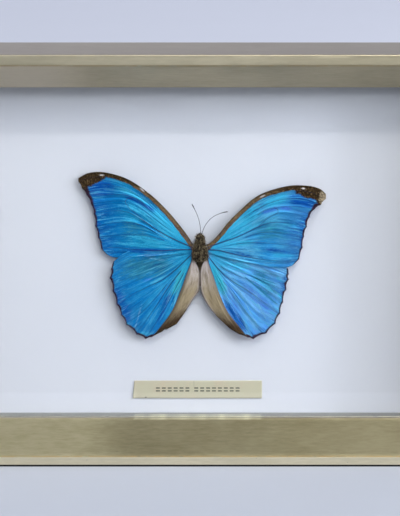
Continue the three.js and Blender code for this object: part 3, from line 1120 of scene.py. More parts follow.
@dataclass
class WoodenFrame:
    """Four leafed rails and the strips that keep the glass off the board."""

    lip_width: float = 5.5 * MM
    wall_lift: float = 10.3 * MM
    lip_fall: float = 0.5 * MM
    sight_thick: float = 1.5 * MM
    rabbet: float = 6.3 * MM
    lip_round: float = 0.9 * MM
    under_round: float = 0.45 * MM
    foot_high: float = 1.0 * MM
    ridge_round: float = 0.5 * MM
    sight_round: float = 0.45 * MM
    back_round: float = 0.5 * MM

    def stretches(self, bottom: bool) -> list:
        """Draws the rail's section, round from the sight edge's underside.

        Args:
            bottom: Whether the rail stands on the table: its outer edge is rounder and carries a painted
                contact shadow.

        Returns:
            The stretches, in order.
        """
        outer_round = self.under_round if bottom else self.lip_round
        back, sight = self.back_round, self.sight_round
        wide, low = SPACE.rail_width, SPACE.back_lift
        ridge, wall = SPACE.front_lift, self.wall_lift
        crest, lip_top, ledge = wide - self.lip_width, ridge - self.lip_fall, wall - self.sight_thick
        fall = (ridge - wall) / crest
        slope_angle = 90 + math.degrees(math.atan2(ridge - wall, crest))
        slope_top = (crest - 0.5 * MM, ridge - 0.5 * MM * fall - 0.1 * MM)
        slope_foot = (0.8 * MM, wall + 0.8 * MM * fall - 0.05 * MM)
        outer = (wide - outer_round, lip_top - outer_round, outer_round)
        top = (crest + self.ridge_round, ridge - self.ridge_round, self.ridge_round)
        foot = wide - self.foot_high
        # The bottom rail's lower front edge gets a painted contact shadow.
        painted_contact_shadow = float(bottom)
        edge = {"lip": 1.0, "rub_and_highlight": 1.0 - painted_contact_shadow, "painted_contact_shadow": painted_contact_shadow}
        return [
            Stretch([(0, ledge)], side=1.0, finish=1),
            Stretch([(self.rabbet, ledge), (self.rabbet, low), (wide - back - 0.2 * MM, low)], finish=1),
            Stretch(arc(wide - back, low + back, back, -90, 0, 4), side=1.0),
            Stretch(line((wide, low + 2 * MM), (wide, lip_top - outer_round - MM), 9), side=1.0),
            Stretch(arc(*outer, 0, 50, 4), side=1.0, painted_contact_shadow=painted_contact_shadow),
            Stretch([*arc(*outer, 60, 85, 3), (foot, lip_top)], **edge),
            Stretch(line((foot - 0.1 * MM, lip_top), (crest + 0.9 * MM, ridge - 0.04 * MM), 6), lip=1.0),
            Stretch(arc(*top, 90, 110, 2), lip=1.0, rub_and_highlight=0.5),
            Stretch(arc(*top, 120, slope_angle, 3), bole=1.0),
            Stretch(line(slope_top, slope_foot, 16)),
            # The bottom sight edge carries the painted reflection of the label.
            Stretch(arc(sight, wall - 0.05 * MM, sight, 125, 180, 4), rub_and_highlight=0.2, painted_label_reflection=float(bottom)),
            Stretch([(0, wall - 0.25 * MM), (0, wall - MM)], side=1.0, painted_label_reflection=0.7 * bottom),
            Stretch([(0, ledge + 0.05 * MM)], side=1.0),
        ]

    def build(self, leaf: Material, strip: Material, wood: Material) -> None:
        """Makes the rails and the strips.

        Args:
            leaf: The rails' finish.
            strip: The strips' finish.
            wood: The finish of the hidden faces.
        """
        for side in Side:
            rail = MitredBar(side, self.stretches(side is Side.BOTTOM)).build(f"leafed_rail_{side.title}")
            seat(dress(rail, leaf, wood), "leaf", f"rail_{side.title}")
            strips = self.spacer(side is Side.BOTTOM)
            spacer = MitredBar(side, strips, wobble=0.0, dulled=False).build(f"leafed_strip_{side.title}")
            seat(dress(spacer, strip, wood), "leaf", f"spacer_{side.title}")

    def spacer(self, bottom: bool) -> list:
        """Draws the section of a leafed strip between the glass and the board.

        Args:
            bottom: Whether it is the bottom strip, which carries a painted reflection of the label in front.

        Returns:
            The stretches, in order.
        """
        low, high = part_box("spacer_bottom")
        inner, outer = SPACE.sill_z - high.z, SPACE.sill_z - low.z
        top, foot = SPACE.board_y - low.y, SPACE.board_y - high.y
        return [
            Stretch([(inner, foot), (outer, foot)], finish=1),
            Stretch([(outer, top)], finish=1),
            # The bottom strip carries the painted reflection of the label.
            Stretch([(inner + 0.15 * MM, top), (inner, top - 0.15 * MM)], rub_and_highlight=0.3, painted_label_reflection=0.6 * bottom),
            Stretch([(inner, top - MM), (inner, top - 3.4 * MM)], painted_label_reflection=0.45 * bottom),
            Stretch(line((inner, top - 4 * MM), (inner, foot + MM), 4)),
        ]


# -------- glass, boards, label


@dataclass
class Pack:
    """What lies in the rabbet, and what holds it there and hangs the whole."""

    arris: float = 0.25 * MM
    point_arris: float = 0.06 * MM
    hanger_arris: float = 0.1 * MM

    def build(self) -> None:
        """Makes the pane, the boards, the framer's points and the hanger."""
        pane = dress(refine("glass_pane", "pane", self.arris), Glass().build())
        pane.visible_shadow = False
        seat(pane, "glass", "glass_pane")
        board = Mottled("matt_white_board", (0.76, 0.775, 0.82), (0.73, 0.75, 0.8), 30.0, 0.3, 0.9, 0.00002)
        card = refine("mount_board", "white_card", self.arris)
        seat(dress(card, board.build()), "white_board", "mount_board")
        brown = Mottled("brown_hardboard", shade(134, 100, 70), shade(104, 76, 52), 160.0, 0.6, 0.85, 0.0001)
        backing = refine("backing_board", "hardboard_back", self.arris)
        seat(dress(backing, brown.build()), "hardboard", "backing_board")
        steel = Metal("bright_steel", shade(200, 202, 204), shade(128, 128, 130)).build()
        brass = Metal("dull_brass", shade(206, 172, 100), shade(124, 94, 50)).build()
        for node in sorted(frame["nodes"]):
            if node.startswith("framing_point"):
                point = refine(node, node.replace("framing", "steel"), self.point_arris, 1)
                seat(dress(point, steel), "steel", node)
            elif node.startswith("hanger"):
                hanger = refine(node, node.replace("hanger", "brass"), self.hanger_arris)
                seat(dress(hanger, brass), "brass", node)


@dataclass
class Label:
    """A strip of old paper with a lifted corner, and two groups of plain typed strokes."""

    top: float = 16.9 * MM
    bottom: float = 7.5 * MM
    left: float = -33.3 * MM
    right: float = 31.5 * MM
    skew: float = 0.9 * MM
    thick: float = 0.12 * MM
    lift: float = 0.32 * MM
    stroke: Pair = (2.0 * MM, 0.58 * MM)
    stroke_thick: float = 0.04 * MM
    pitch: float = 3.0 * MM
    groups: tuple = ((-22.4 * MM, 6), (-2.9 * MM, 8))
    middle: float = 12.2 * MM
    row_gap: float = 1.55 * MM

    def build(self) -> None:
        """Makes the paper and the strokes on it."""
        paper = PaperFinish().build()
        seat(dress(self.paper(), paper), "label_paper", "label")
        ink = Mottled("typing_ink", shade(26, 28, 22), shade(78, 80, 66), 2600.0, 0.7, 0.6)
        marks = new_piece("typed_strokes", np.zeros((0, 3)), [])
        grown = grow(marks, self.stroke_tree(ink.build()), {})
        seat(grown, "label_paper")

    def paper(self) -> Piece:
        """Makes a fine sheet that bulges a little and stands up at its lower left corner.

        Returns:
            The sheet.
        """
        columns, rows = 130, 20
        bulge = Ripple(5, 18 * MM)
        u, v = np.meshgrid(np.linspace(0, 1, columns + 1), np.linspace(0, 1, rows + 1))
        left = self.left - self.skew * (1 - v)
        x = left + (self.right - left) * u
        z = self.bottom + (self.top - self.bottom) * v
        corner = np.maximum(0, 1 - u / 0.03) * np.maximum(0, 1 - v / 0.6)
        lift = self.lift + 0.5 * MM * corner**1.5 + 0.025 * MM * bulge(x, z)
        under = np.stack([x, SPACE.board_y - lift, SPACE.sill_z + z], axis=-1).reshape(-1, 3)
        over = under - np.array([0.0, self.thick, 0.0])
        return sheet_piece("paper_label", over, under, (rows + 1, columns + 1), front_out=True)

    def stroke_tree(self, ink: Material) -> Tree:
        """Lays double strokes in two groups.

        Args:
            ink: The strokes' finish.

        Returns:
            The tree, which puts a flat block on each point of four lines.
        """
        g = Graph(new_geometry_tree("typed_strokes", []))
        wide, high = self.stroke
        block = g.add("GeometryNodeMeshCube", {"Size": (wide, self.stroke_thick, high)})
        joined = g.add("GeometryNodeJoinGeometry")
        face = SPACE.board_y - self.lift - self.thick - self.stroke_thick / 2
        for start, count in self.groups:
            for level in (-0.5, 0.5):
                place = (start + wide / 2, face, SPACE.sill_z + self.middle + level * self.row_gap)
                row = {"Count": count, "Start Location": place, "Offset": (self.pitch, 0.0, 0.0)}
                g.feed(joined, {0: g.add("GeometryNodeMeshLine", row).outputs[0]})
        strewn = {"Points": joined.outputs[0], "Instance": block.outputs["Mesh"]}
        finish_geometry(g, g.add("GeometryNodeInstanceOnPoints", strewn).outputs[0], ink)
        return g.tree


@dataclass(frozen=True)
class PaperFinish(Finish):
    """Yellowed paper: faint pink and green patches, a soft crease with painted shade along it, and a dark
    spot near its corner.
    """

    name: str = "old_paper"
    green: Triple = shade(205, 199, 170)
    pink: Triple = shade(209, 193, 165)
    dark: Triple = shade(70, 68, 56)
    crease_x: float = -3.1 * MM
    crease_height: Pair = (12 * MM, 15 * MM)
    spot: Pair = (-27.6 * MM, 8.0 * MM)
    spot_size: Pair = (0.7 * MM, 0.3 * MM)
    spot_flat: float = 1.8

    def inputs(self, g: Graph) -> dict:
        """Gives the shader's inputs by name."""
        place = g.place()
        patches = g.noise(place, 45.0, 4.0, 0.6)
        fibres = g.noise(g.stretch(place, (900.0, 900.0, 2600.0)), 1.0, 4.0, 0.6)
        x, _, z = g.split(place)
        off = g.math("ABSOLUTE", g.math("SUBTRACT", x, self.crease_x))
        upper = g.range(z, *(SPACE.sill_z + height for height in self.crease_height))
        crease = g.times(g.range(off, 0.45 * MM, 0.1 * MM), upper)
        middle = (self.spot[0], 0.0, self.spot_flat * (SPACE.sill_z + self.spot[1]))
        flat = g.stretch(place, (1.0, 0.0, self.spot_flat))
        away = g.add("ShaderNodeVectorMath", {0: flat, 1: middle}, operation="DISTANCE").outputs["Value"]
        colour = g.mix(g.range(patches, 0.4, 0.62), self.green, self.pink)
        colour = g.mix(g.range(fibres, 0.6, 0.8, 0, 0.12), colour, self.dark)
        # Painted shade along the crease.
        colour = g.mix(g.times(crease, 0.16), colour, self.dark)
        return {
            "Base Color": g.mix(g.range(away, *self.spot_size, 0, 0.85), colour, self.dark),
            "Roughness": g.range(patches, 0.3, 0.7, 0.3, 0.42),
            "Normal": g.bump(g.total((fibres, 1), (crease, -1.0)), 0.4, 0.00003),
        }


def sheet_piece(name: str, over: Array, under: Array, shape: tuple, front_out: bool) -> Piece:
    """Closes two layers of a grid of points to one thin sheet.

    Args:
        name: The piece's name.
        over: The upper layer's points, row by row.
        under: The lower layer's points.
        shape: The grid's rows and columns.
        front_out: Whether the grid's rows and columns run so that the upper faces already point out.

    Returns:
        The sheet; the lower layer and the rim have material 1.
    """
    rows, columns = shape
    total = rows * columns
    top, bottom = [], []
    for i in range(rows - 1):
        for j in range(columns - 1):
            a = i * columns + j
            quad = (a, a + 1, a + columns + 1, a + columns)
            top.append(quad if front_out else quad[::-1])
            bottom.append(tuple(v + total for v in (quad[::-1] if front_out else quad)))
    numbers = np.arange(total).reshape(rows, columns).tolist()
    right, left = [row[-1] for row in numbers], [row[0] for row in numbers]
    border = numbers[0] + right[1:] + numbers[-1][-2::-1] + left[-2:0:-1]
    rim = []
    for a, b in zip(border, border[1:] + border[:1]):
        quad = (b, a, a + total, b + total)
        rim.append(quad if front_out else quad[::-1])
    piece = new_piece(name, np.vstack([over, under]), top + bottom + rim)
    indices = np.ones(len(piece.data.polygons), np.int32)
    indices[: len(top)] = 0
    piece.data.polygons.foreach_set("material_index", indices)
    return piece


# -------- geometry nodes


def new_geometry_tree(name: str, inputs: list) -> Tree:
    """Starts a Geometry Nodes tree with named number inputs.

    Args:
        name: The tree's name.
        inputs: Each input's name and default value.

    Returns:
        The tree, with a geometry going in and out.
    """
    tree = bpy.data.node_groups.new(name, "GeometryNodeTree")
    tree.interface.new_socket("Geometry", in_out="INPUT", socket_type="NodeSocketGeometry")
    tree.interface.new_socket("Geometry", in_out="OUTPUT", socket_type="NodeSocketGeometry")
    for title, default in inputs:
        kind = "NodeSocketInt" if isinstance(default, int) else FLOAT
        if isinstance(default, tuple):
            kind = VECTOR
        socket = tree.interface.new_socket(title, in_out="INPUT", socket_type=kind)
        socket.default_value = default
    return tree


def finish_geometry(g: Graph, geometry: Socket, material: Material) -> None:
    """Ends a tree: makes instances real and sets the material.

    Args:
        g: The tree's graph.
        geometry: What the tree has made.
        material: The finish it gets.
    """
    real = g.add("GeometryNodeRealizeInstances", {0: geometry}).outputs[0]
    painted = g.add("GeometryNodeSetMaterial", {"Geometry": real, "Material": material}).outputs[0]
    g.add("NodeGroupOutput", {0: painted})


def grow(piece: Piece, tree: Tree, values: dict) -> Piece:
    """Runs a tree on a piece and keeps what it makes as the piece's plain mesh.

    Args:
        piece: The object that the tree starts from.
        tree: The Geometry Nodes tree.
        values: The tree's inputs by name.

    Returns:
        The same object, with the new mesh.
    """
    modifier = piece.modifiers.new(tree.name, "NODES")
    modifier.node_group = tree
    for item in tree.interface.items_tree:
        if item.item_type == "SOCKET" and item.in_out == "INPUT" and item.name in values:
            modifier[item.identifier] = values[item.name]
    graph = bpy.context.evaluated_depsgraph_get()
    made = bpy.data.meshes.new_from_object(piece.evaluated_get(graph))
    piece.modifiers.clear()
    piece.data = made
    return piece


def build_fur_tree(material: Material) -> Tree:
    """Strews fine bent hairs on a skin, combed one way; the skin itself isn't kept.

    Args:
        material: The hairs' finish.

    Returns:
        The tree.
    """
    inputs = [("Density", 1e6), ("Length", 1.2 * MM), ("Radius", 0.03 * MM), ("Comb", (0.0, 0.0, -1.0))]
    inputs += [("Stand", 0.4), ("Stray", 0.3), ("Seed", 1)]
    g = Graph(new_geometry_tree(f"fur_{material.name}", inputs))
    given = g.add("NodeGroupInput").outputs
    seed, length, radius = given["Seed"], given["Length"], given["Radius"]
    skin = {"Mesh": given["Geometry"], "Density": given["Density"], "Seed": seed}
    strewn = g.add("GeometryNodeDistributePointsOnFaces", skin).outputs
    cone = {"Vertices": 3, "Side Segments": 3, "Depth": length}
    cone |= {"Radius Top": g.times(radius, 0.15), "Radius Bottom": radius}
    hair = g.add("GeometryNodeMeshCone", cone, fill_type="NONE").outputs["Mesh"]
    share = g.math("DIVIDE", g.split(g.add("GeometryNodeInputPosition").outputs[0])[2], length)
    curl = g.times(g.times(share, share), g.times(length, 0.3))
    offset = g.add("ShaderNodeCombineXYZ", {0: curl}).outputs[0]
    bent = g.add("GeometryNodeSetPosition", {"Geometry": hair, "Offset": offset}).outputs[0]
    corners = {0: (-1.0, -1.0, -1.0), 1: (1.0, 1.0, 1.0), "Seed": seed}
    stray = g.add("FunctionNodeRandomValue", corners, data_type="FLOAT_VECTOR").outputs[0]
    way = g.vector("ADD", g.vector("SCALE", strewn["Normal"], given["Stand"]), given["Comb"])
    way = g.vector("ADD", way, g.vector("SCALE", stray, given["Stray"]))
    turn = g.add("FunctionNodeAlignRotationToVector", {"Vector": way}, axis="Z").outputs[0]
    sizes = {2: 0.5, 3: 1.15, "Seed": g.math("ADD", seed, 7.0)}
    size = g.add("FunctionNodeRandomValue", sizes, data_type="FLOAT").outputs[1]
    stand = {"Points": strewn["Points"], "Instance": bent, "Rotation": turn, "Scale": size}
    placed = g.add("GeometryNodeInstanceOnPoints", stand).outputs[0]
    tones = {"Seed": g.math("ADD", seed, 13.0)}
    tone = g.add("FunctionNodeRandomValue", tones, data_type="FLOAT").outputs[1]
    mark = {"Geometry": placed, "Name": "tone", "Value": tone}
    toned = g.add("GeometryNodeStoreNamedAttribute", mark, data_type="FLOAT", domain="INSTANCE").outputs[0]
    finish_geometry(g, toned, material)
    return g.tree


# -------- the butterfly


@dataclass(frozen=True)
class Sheen:
    """A long patch of painted sheen, where the scales lean to a tint: its ends, how wide it is and how
    strong.
    """

    start: Pair
    end: Pair
    width: float
    amount: float


@dataclass(frozen=True)
class Spot:
    """A small light mark: its middle, its half length and half height, and its turn in degrees."""

    middle: Pair
    size: Pair
    turn: float = 0.0
    amount: float = 1.0


@dataclass(frozen=True)
class WingPlan:
    """One wing, drawn as lines from its root to its outer edge, in millimetres from the thorax's middle.

    The first line is the leading edge and the last the inner margin; most lines between are veins. Starts
    give the share of each line where its vein begins, widths how strong it is, and rims how wide the dark
    edge is where it ends. Tears are places on the edge, counted in lines, each with a depth and a width.
    Sheens are given by their tint.
    """

    node: str
    mirror: int
    lines: tuple
    starts: tuple
    widths: tuple
    rims: tuple
    lifts: Triple
    seed: int
    costa_width: float = 0.0
    fold_from: float = 99.0
    scallop: float = 0.5
    apex: tuple = ()
    worn: tuple = ()
    spots: tuple = ()
    tears: tuple = ()
    cross: tuple = ()
    sheens: dict = field(default_factory=dict)


FORE_STARTS = (0, 0, 0.45, 0.5, 0.62, 0, 0.4, 0.3, 0, 0)
FORE_WIDTHS = (0, 0.15, 0.2, 0.2, 0.12, 0.42, 0.16, 0.16, 0.4, 0)

LEFT_FORE = WingPlan(
    node="left_forewing",
    mirror=-1,
    lines=(
        ((3.4, 3.4), (7, 9), (11.5, 15), (17, 21.5), (23, 27.5), (28.5, 32), (34.5, 36), (40.5, 38.5),
         (48.5, 40.1), (55.5, 39.5), (60.3, 36.9)),
        ((3.5, 3), (8, 8.4), (14, 14.9), (21, 22.2), (28, 28.6), (36, 33.8), (44, 36.8), (53, 37.5),
         (60.4, 35)),
        ((3.6, 2.7), (10, 9.3), (18, 17.6), (27, 26), (36, 31.4), (46.8, 34), (53, 33.6), (58.8, 31.8)),
        ((3.7, 2.4), (11, 8.8), (19, 16.3), (26, 22.6), (31.5, 26.6), (38.5, 28.6), (47, 28.7), (56.5, 28.3)),
        ((3.8, 2.1), (12, 8.2), (21, 15.1), (29, 20.9), (37.3, 25), (46, 24.9), (54.3, 23.7)),
        ((3.9, 1.8), (12, 5.6), (21, 10.6), (28.5, 15.6), (36, 19.8), (44, 20.3), (52.9, 18.6)),
        ((4, 1.5), (13, 4.8), (21, 8.7), (28, 12.6), (36, 14.6), (45, 13.9), (52.2, 12.4)),
        ((4, 1.2), (12, 3.4), (20, 6.2), (29, 8), (40, 7.9), (51, 6.6)),
        ((4, 0.7), (12, 0.6), (20, 0.1), (32.5, 0.5), (42, 1.5), (49.4, 0.8)),
        ((4, -0.6), (15, -2), (28, -3.1), (36, -3.8), (43, -3.7), (46.6, -2.2)),
    ),
    starts=FORE_STARTS,
    widths=FORE_WIDTHS,
    rims=(3.0, 3.4, 3.0, 1.9, 1.2, 0.9, 0.8, 0.8, 0.7, 0.5),
    lifts=(4.2, 3.9, 2.4),
    seed=3,
    costa_width=2.3,
    apex=((57.4, 30.6), (56.1, 32.1), (52.2, 33.9), (48.3, 36), (45, 37.5), (42.3, 38.2), (42.3, 60),
          (80, 60), (80, 30.6)),
    spots=(
        Spot((48.7, 38.5), (1.2, 0.4), -4, 0.75),
        Spot((28.7, 31.3), (1.7, 0.45), 43, 0.85),
        Spot((25.7, 29.9), (0.5, 0.4), 0, 0.7),
    ),
    cross=(((21, 10.6), (28.6, 16.2), (35, 21.8), (37.3, 25)), ((37.3, 25), (36, 26.6), (33, 27.3))),
    sheens={
        Tint.CYAN: (
            ((10.1, 6.9), (23.4, 21.8), 3.6, 1.1), ((23.4, 21.8), (40, 32.1), 2.2, 0.7),
            ((37.8, 25.2), (13.4, 9.2), 1.5, 0.7), ((39.5, 16.6), (27.8, 15.5), 1, 0.5),
            ((35.6, 7.5), (13.4, 3.4), 1.4, 0.8), ((50, 4), (13.4, 2.3), 1.2, 0.6),
            ((52.2, 18.9), (46.6, 16.6), 0.7, 0.7), ((50.5, 11.5), (45, 9.2), 0.8, 0.7),
            ((49.4, 6.9), (42.2, 2.3), 1.4, 0.6), ((53.3, 26.9), (46.6, 26.9), 1, 0.6),
        ),
        Tint.DEEP: (
            ((38.9, 29.2), (22.3, 20.6), 1.2, 0.77), ((57.5, 31), (42, 31.5), 3.2, 0.8),
            ((41.1, -0.6), (10.1, 0.9), 1.2, 0.68), ((55.5, 28.1), (50.5, 6.9), 2.2, 0.68),
        ),
        Tint.TEAL: (((40, 11.5), (24.5, 11.5), 4, 0.5),),
        Tint.PALE: (((39.5, -3.4), (10.7, -0.8), 0.4, 0.37),),
    },
)

RIGHT_FORE = WingPlan(
    node="right_forewing",
    mirror=1,
    lines=(
        ((3.4, 3.4), (5.5, 4.6), (10, 9.5), (14.2, 15), (19.6, 20.5), (25.8, 26.4), (31.9, 30), (39, 32.3),
         (46, 33.7), (54, 33.4), (59.4, 31.9), (62.4, 29.4)),
        ((3.5, 3), (9, 7.7), (15, 13.6), (21, 19), (28, 24.5), (36, 28.4), (44, 30.5), (53, 30.6),
         (62.6, 26.8)),
        ((3.6, 2.7), (10, 7.2), (18, 13.8), (27, 20.5), (36, 25.2), (45, 27), (53, 26.4), (60.2, 23.7)),
        ((3.7, 2.4), (11, 6.7), (19, 12.2), (27, 17.6), (33, 21.3), (40, 22.9), (48, 22.8), (57.2, 21.6)),
        ((3.8, 2.2), (12, 6), (21, 10.7), (30, 15.7), (38.7, 19.8), (46, 19.4), (54.6, 17.5)),
        ((3.9, 1.9), (5.8, 2.7), (12, 4.9), (19.2, 7.6), (29.2, 12.7), (36, 14.8), (45, 14.3), (53.2, 12.4)),
        ((4, 1.5), (13, 3.9), (21, 6.4), (28, 9), (36, 9.9), (44, 8.9), (51.9, 7.4)),
        ((4, 1.2), (12, 2.6), (20, 3.9), (29, 4.5), (40, 3.6), (51.3, 2)),
        ((4, 0.7), (10, 0.2), (18, -1.8), (27, -3.6), (36, -4.7), (44, -4.9), (49.6, -4.2)),
        ((4, -0.6), (9.8, -2.5), (18.8, -4.8), (27.7, -6.7), (36.7, -8.4), (42.5, -8.7), (46.4, -7.4)),
    ),
    starts=FORE_STARTS,
    widths=FORE_WIDTHS,
    rims=(3.0, 3.2, 2.4, 1.6, 1.1, 0.9, 0.8, 0.8, 0.7, 0.5),
    lifts=(4.2, 4.5, 4.3),
    seed=7,
    costa_width=2.5,
    apex=((59.2, 22.8), (57.9, 24.6), (57.1, 26), (51.5, 27.7), (47.7, 29.8), (46, 31.2), (46, 50),
          (80, 50), (80, 22.8)),
    worn=((59.6, 30), (64.5, 30), (64.5, 22), (60.6, 23.4), (58.8, 26.4)),
    spots=(Spot((51.2, 32.1), (0.9, 0.42), 0, 0.8), Spot((31.0, 28.1), (1.6, 0.45), 27, 0.6)),
    tears=((2.35, 1.0, 0.12), (1.75, 0.8, 0.08)),
    cross=(((29.2, 12.7), (33.3, 16.6), (38.7, 19.8)), ((38.7, 19.8), (38.6, 21.4), (36.5, 22.4))),
    sheens={
        Tint.CYAN: (
            ((10.6, 6.3), (29.4, 22.9), 3.4, 1.1), ((29.4, 22.9), (43.8, 29.2), 2, 0.7),
            ((9.5, 4), (29.4, 14.9), 1.6, 0.8), ((10.6, 2.9), (27.2, 5.2), 1.2, 0.8),
            ((35.5, -1.7), (48.2, -2.8), 1.1, 0.7), ((4.5, 0), (13.3, -1.1), 0.8, 0.7),
        ),
        Tint.VIOLET: (
            ((30.5, 19.5), (39.3, 22.3), 1, 0.54), ((39.3, 21.8), (46, 21.8), 1.2, 0.54),
            ((30.5, 1.2), (48.2, -0.6), 1.6, 0.3),
        ),
        Tint.DEEP: (
            ((44, 26.8), (58, 24.6), 3, 0.9), ((30.5, 1.2), (48.2, -0.6), 1.4, 0.42),
            ((52.6, 19.5), (50.4, 1.7), 2.2, 0.59), ((6.7, 1.2), (28.3, -2.8), 0.8, 0.59),
        ),
        Tint.TEAL: (((24.4, 10.9), (48.2, 12.6), 5, 0.6),),
        Tint.TURQUOISE: (((32.7, 10.9), (38.2, 15.5), 1.8, 0.25),),
        Tint.PALE: (
            ((46, 12), (49.9, 8.6), 0.4, 0.5), ((47.6, 2.9), (49.9, -0.6), 0.4, 0.43),
            ((41.6, -5.7), (47.6, -6.9), 0.56, 0.37),
        ),
    },
)

LEFT_HIND = WingPlan(
    node="left_hindwing",
    mirror=-1,
    lines=(
        ((3.6, -0.8), (15, 1), (28, 1.2), (37, -1), (43.3, -5.6)),
        ((3.7, -1.1), (15, -1), (28, -2.2), (37, -5), (44.6, -9.4)),
        ((3.8, -1.4), (14, -3.4), (25, -6.4), (35, -9.8), (45.3, -14.2)),
        ((3.9, -1.8), (13, -6.4), (23, -11.6), (33, -16), (44, -21)),
        ((4, -2.1), (5.6, -3.4), (12.1, -9.8), (18.5, -15), (26.1, -18.7), (33, -22.4), (42.1, -27.9)),
        ((4, -2.3), (5.5, -3.9), (11.5, -10.6), (17.6, -16.6), (24.5, -22.2), (32, -28), (39.9, -33.6)),
        ((4, -2.5), (5.3, -4.3), (11, -11.2), (16.8, -17.8), (22.5, -25), (29.5, -32.5), (37.3, -38.6)),
        ((4, -2.7), (5.1, -4.7), (10.4, -11.8), (15.8, -19), (20.8, -27), (26.2, -35.2), (32, -43.8)),
        ((4, -2.9), (4.7, -5), (8.6, -12.5), (12.4, -20), (17, -29), (22.4, -38), (27.6, -46.3)),
        ((4, -3.1), (4.3, -5.6), (7, -13), (9.8, -21), (14, -31.2), (19.4, -39), (24.6, -45.3)),
        ((3.9, -3.3), (3.8, -6.5), (5.2, -14), (7.8, -22), (11.8, -30.8), (15.6, -37.6), (18.8, -42.1)),
        ((3.6, -3.8), (1.6, -7.1), (0.2, -11), (0.1, -16.5), (0.5, -20.8), (3, -24.6), (7, -31.2),
         (11.8, -38.3)),
    ),
    starts=(0, 0, 0.1, 0.25, 0.0, 0.32, 0.4, 0.2, 0.2, 0, 0, 0),
    widths=(0, 0, 0.12, 0.12, 0.3, 0.12, 0.16, 0.28, 0.2, 0.26, 0.1, 0),
    rims=(0.8, 1.0, 1.0, 0.9, 0.8, 0.8, 0.8, 1.0, 1.4, 2.2, 2.8, 1.8),
    lifts=(3.1, 3.1, 3.5),
    seed=13,
    fold_from=9.0,
    scallop=0.75,
    tears=((10.05, 1.7, 0.15), (8.3, 0.7, 0.1)),
    spots=(Spot((24.2, -14.4), (0.7, 0.35), 30, -0.6),),
    sheens={
        Tint.TEAL: (((41.7, -9.1), (12.9, -8), 5.5, 0.85),),
        Tint.TURQUOISE: (((7.2, -7.5), (13, -22.5), 1.7, 1.2),),
        Tint.PALE: (
            ((26.2, -4), (17.3, -5.1), 0.48, 0.43), ((29.2, -28), (33.1, -41.8), 0.44, 0.56),
        ),
        Tint.VIOLET: (((28.9, -16), (23.4, -14.3), 1.2, 0.3),),
        Tint.DEEP: (
            ((15.1, -20.6), (21.7, -40), 1.6, 0.51), ((43.3, -16.6), (35, -39.5), 2.2, 0.68),
        ),
        Tint.CYAN: (
            ((42.8, -17.7), (40.6, -14.9), 0.5, 0.8), ((41.1, -25.7), (38.1, -21.4), 0.5, 0.8),
            ((40.6, -27.7), (34.5, -26.3), 0.5, 0.6), ((30.6, -42.9), (24.5, -43.5), 1, 0.7),
            ((27.3, -18.3), (12.9, -13.7), 1.5, 0.4),
        ),
    },
)

RIGHT_HIND = WingPlan(
    node="right_hindwing",
    mirror=1,
    lines=(
        ((3.6, -0.8), (15, -1), (28, -3), (37, -5.5), (44, -9)),
        ((3.7, -1.1), (15, -3), (27, -6), (36, -8.8), (44.6, -12)),
        ((3.8, -1.4), (14, -4.7), (25, -8.4), (35, -11.5), (44.6, -14.8)),
        ((3.9, -1.8), (13, -6.8), (23, -11.3), (33, -15.6), (43.4, -20)),
        ((4, -2.1), (11, -8.8), (18, -12.6), (26.2, -15.8), (33, -20), (41.8, -26.8)),
        ((4, -2.3), (5, -4.2), (11, -11.6), (17, -16.4), (25, -21.4), (32.5, -27), (40.4, -32.6)),
        ((4, -2.5), (5, -4.8), (10.6, -12.8), (16.4, -18.8), (23.4, -26.2), (30.5, -33), (38, -38)),
        ((4, -2.7), (4.9, -5.2), (10, -13.4), (15.2, -20.6), (21, -29), (27.2, -36.8), (33.6, -42.9)),
        ((4, -2.9), (4.6, -5.6), (8.5, -14), (12.3, -22), (17.2, -30.8), (22.4, -38.8), (27, -46.1)),
        ((4, -3.1), (4.2, -6), (7, -14.4), (9.8, -22.6), (14.2, -32.2), (20, -39.6), (24.4, -45.3)),
        ((3.9, -3.3), (3.2, -7), (4.8, -15.4), (7.6, -23.2), (11.6, -32), (15.4, -38.6), (19.8, -43.4)),
        ((3.5, -3.8), (1.3, -7), (0.2, -11), (0.1, -16.5), (0.5, -21), (3, -26.8), (8, -33.6), (15.2, -40.8)),
    ),
    starts=(0, 0, 0.1, 0.25, 0.2, 0.0, 0.4, 0.3, 0.3, 0, 0, 0),
    widths=(0, 0, 0.12, 0.12, 0.16, 0.3, 0.12, 0.16, 0.16, 0.26, 0.1, 0),
    rims=(0.8, 1.0, 1.0, 0.9, 0.8, 0.8, 0.8, 1.0, 1.5, 2.4, 2.8, 1.8),
    lifts=(3.1, 3.2, 4.1),
    seed=17,
    fold_from=9.0,
    scallop=0.75,
    sheens={
        Tint.CYAN: (
            ((7.5, -4), (25.2, -9.1), 4, 0.6), ((37.9, -13.7), (42.3, -16.6), 0.6, 0.6),
            ((39, -22.3), (41.8, -25.2), 0.5, 0.8),
        ),
        Tint.PALE: (
            ((14.1, -4.6), (19.1, -5.7), 0.64, 0.37), ((17.7, -17.2), (30.7, -42.3), 0.36, 0.43),
            ((28.5, -26.3), (34, -37.2), 0.4, 0.43), ((34, -25.2), (38.5, -33.2), 0.4, 0.37),
            ((20.7, -33.2), (24.6, -42.3), 0.32, 0.37),
        ),
        Tint.TURQUOISE: (((6, -7.4), (11.8, -22), 1.9, 1.2),),
        Tint.TEAL: (
            ((25.2, -11.4), (39.6, -21.7), 4.5, 0.6), ((21.3, -12.6), (38.5, -27.5), 0.5, 0.8),
        ),
        Tint.DEEP: (
            ((11.3, -25.2), (24.1, -42.9), 1.5, 0.81), ((43.4, -10.3), (41.2, -26.3), 1.6, 0.51),
        ),
        Tint.VIOLET: (
            ((13.6, -17.7), (21.3, -37.8), 1.3, 0.48), ((20.7, -16), (37.4, -34.3), 3.2, 0.42),
            ((25.2, -42.9), (36.2, -38.9), 2, 0.3),
        ),
    },
)


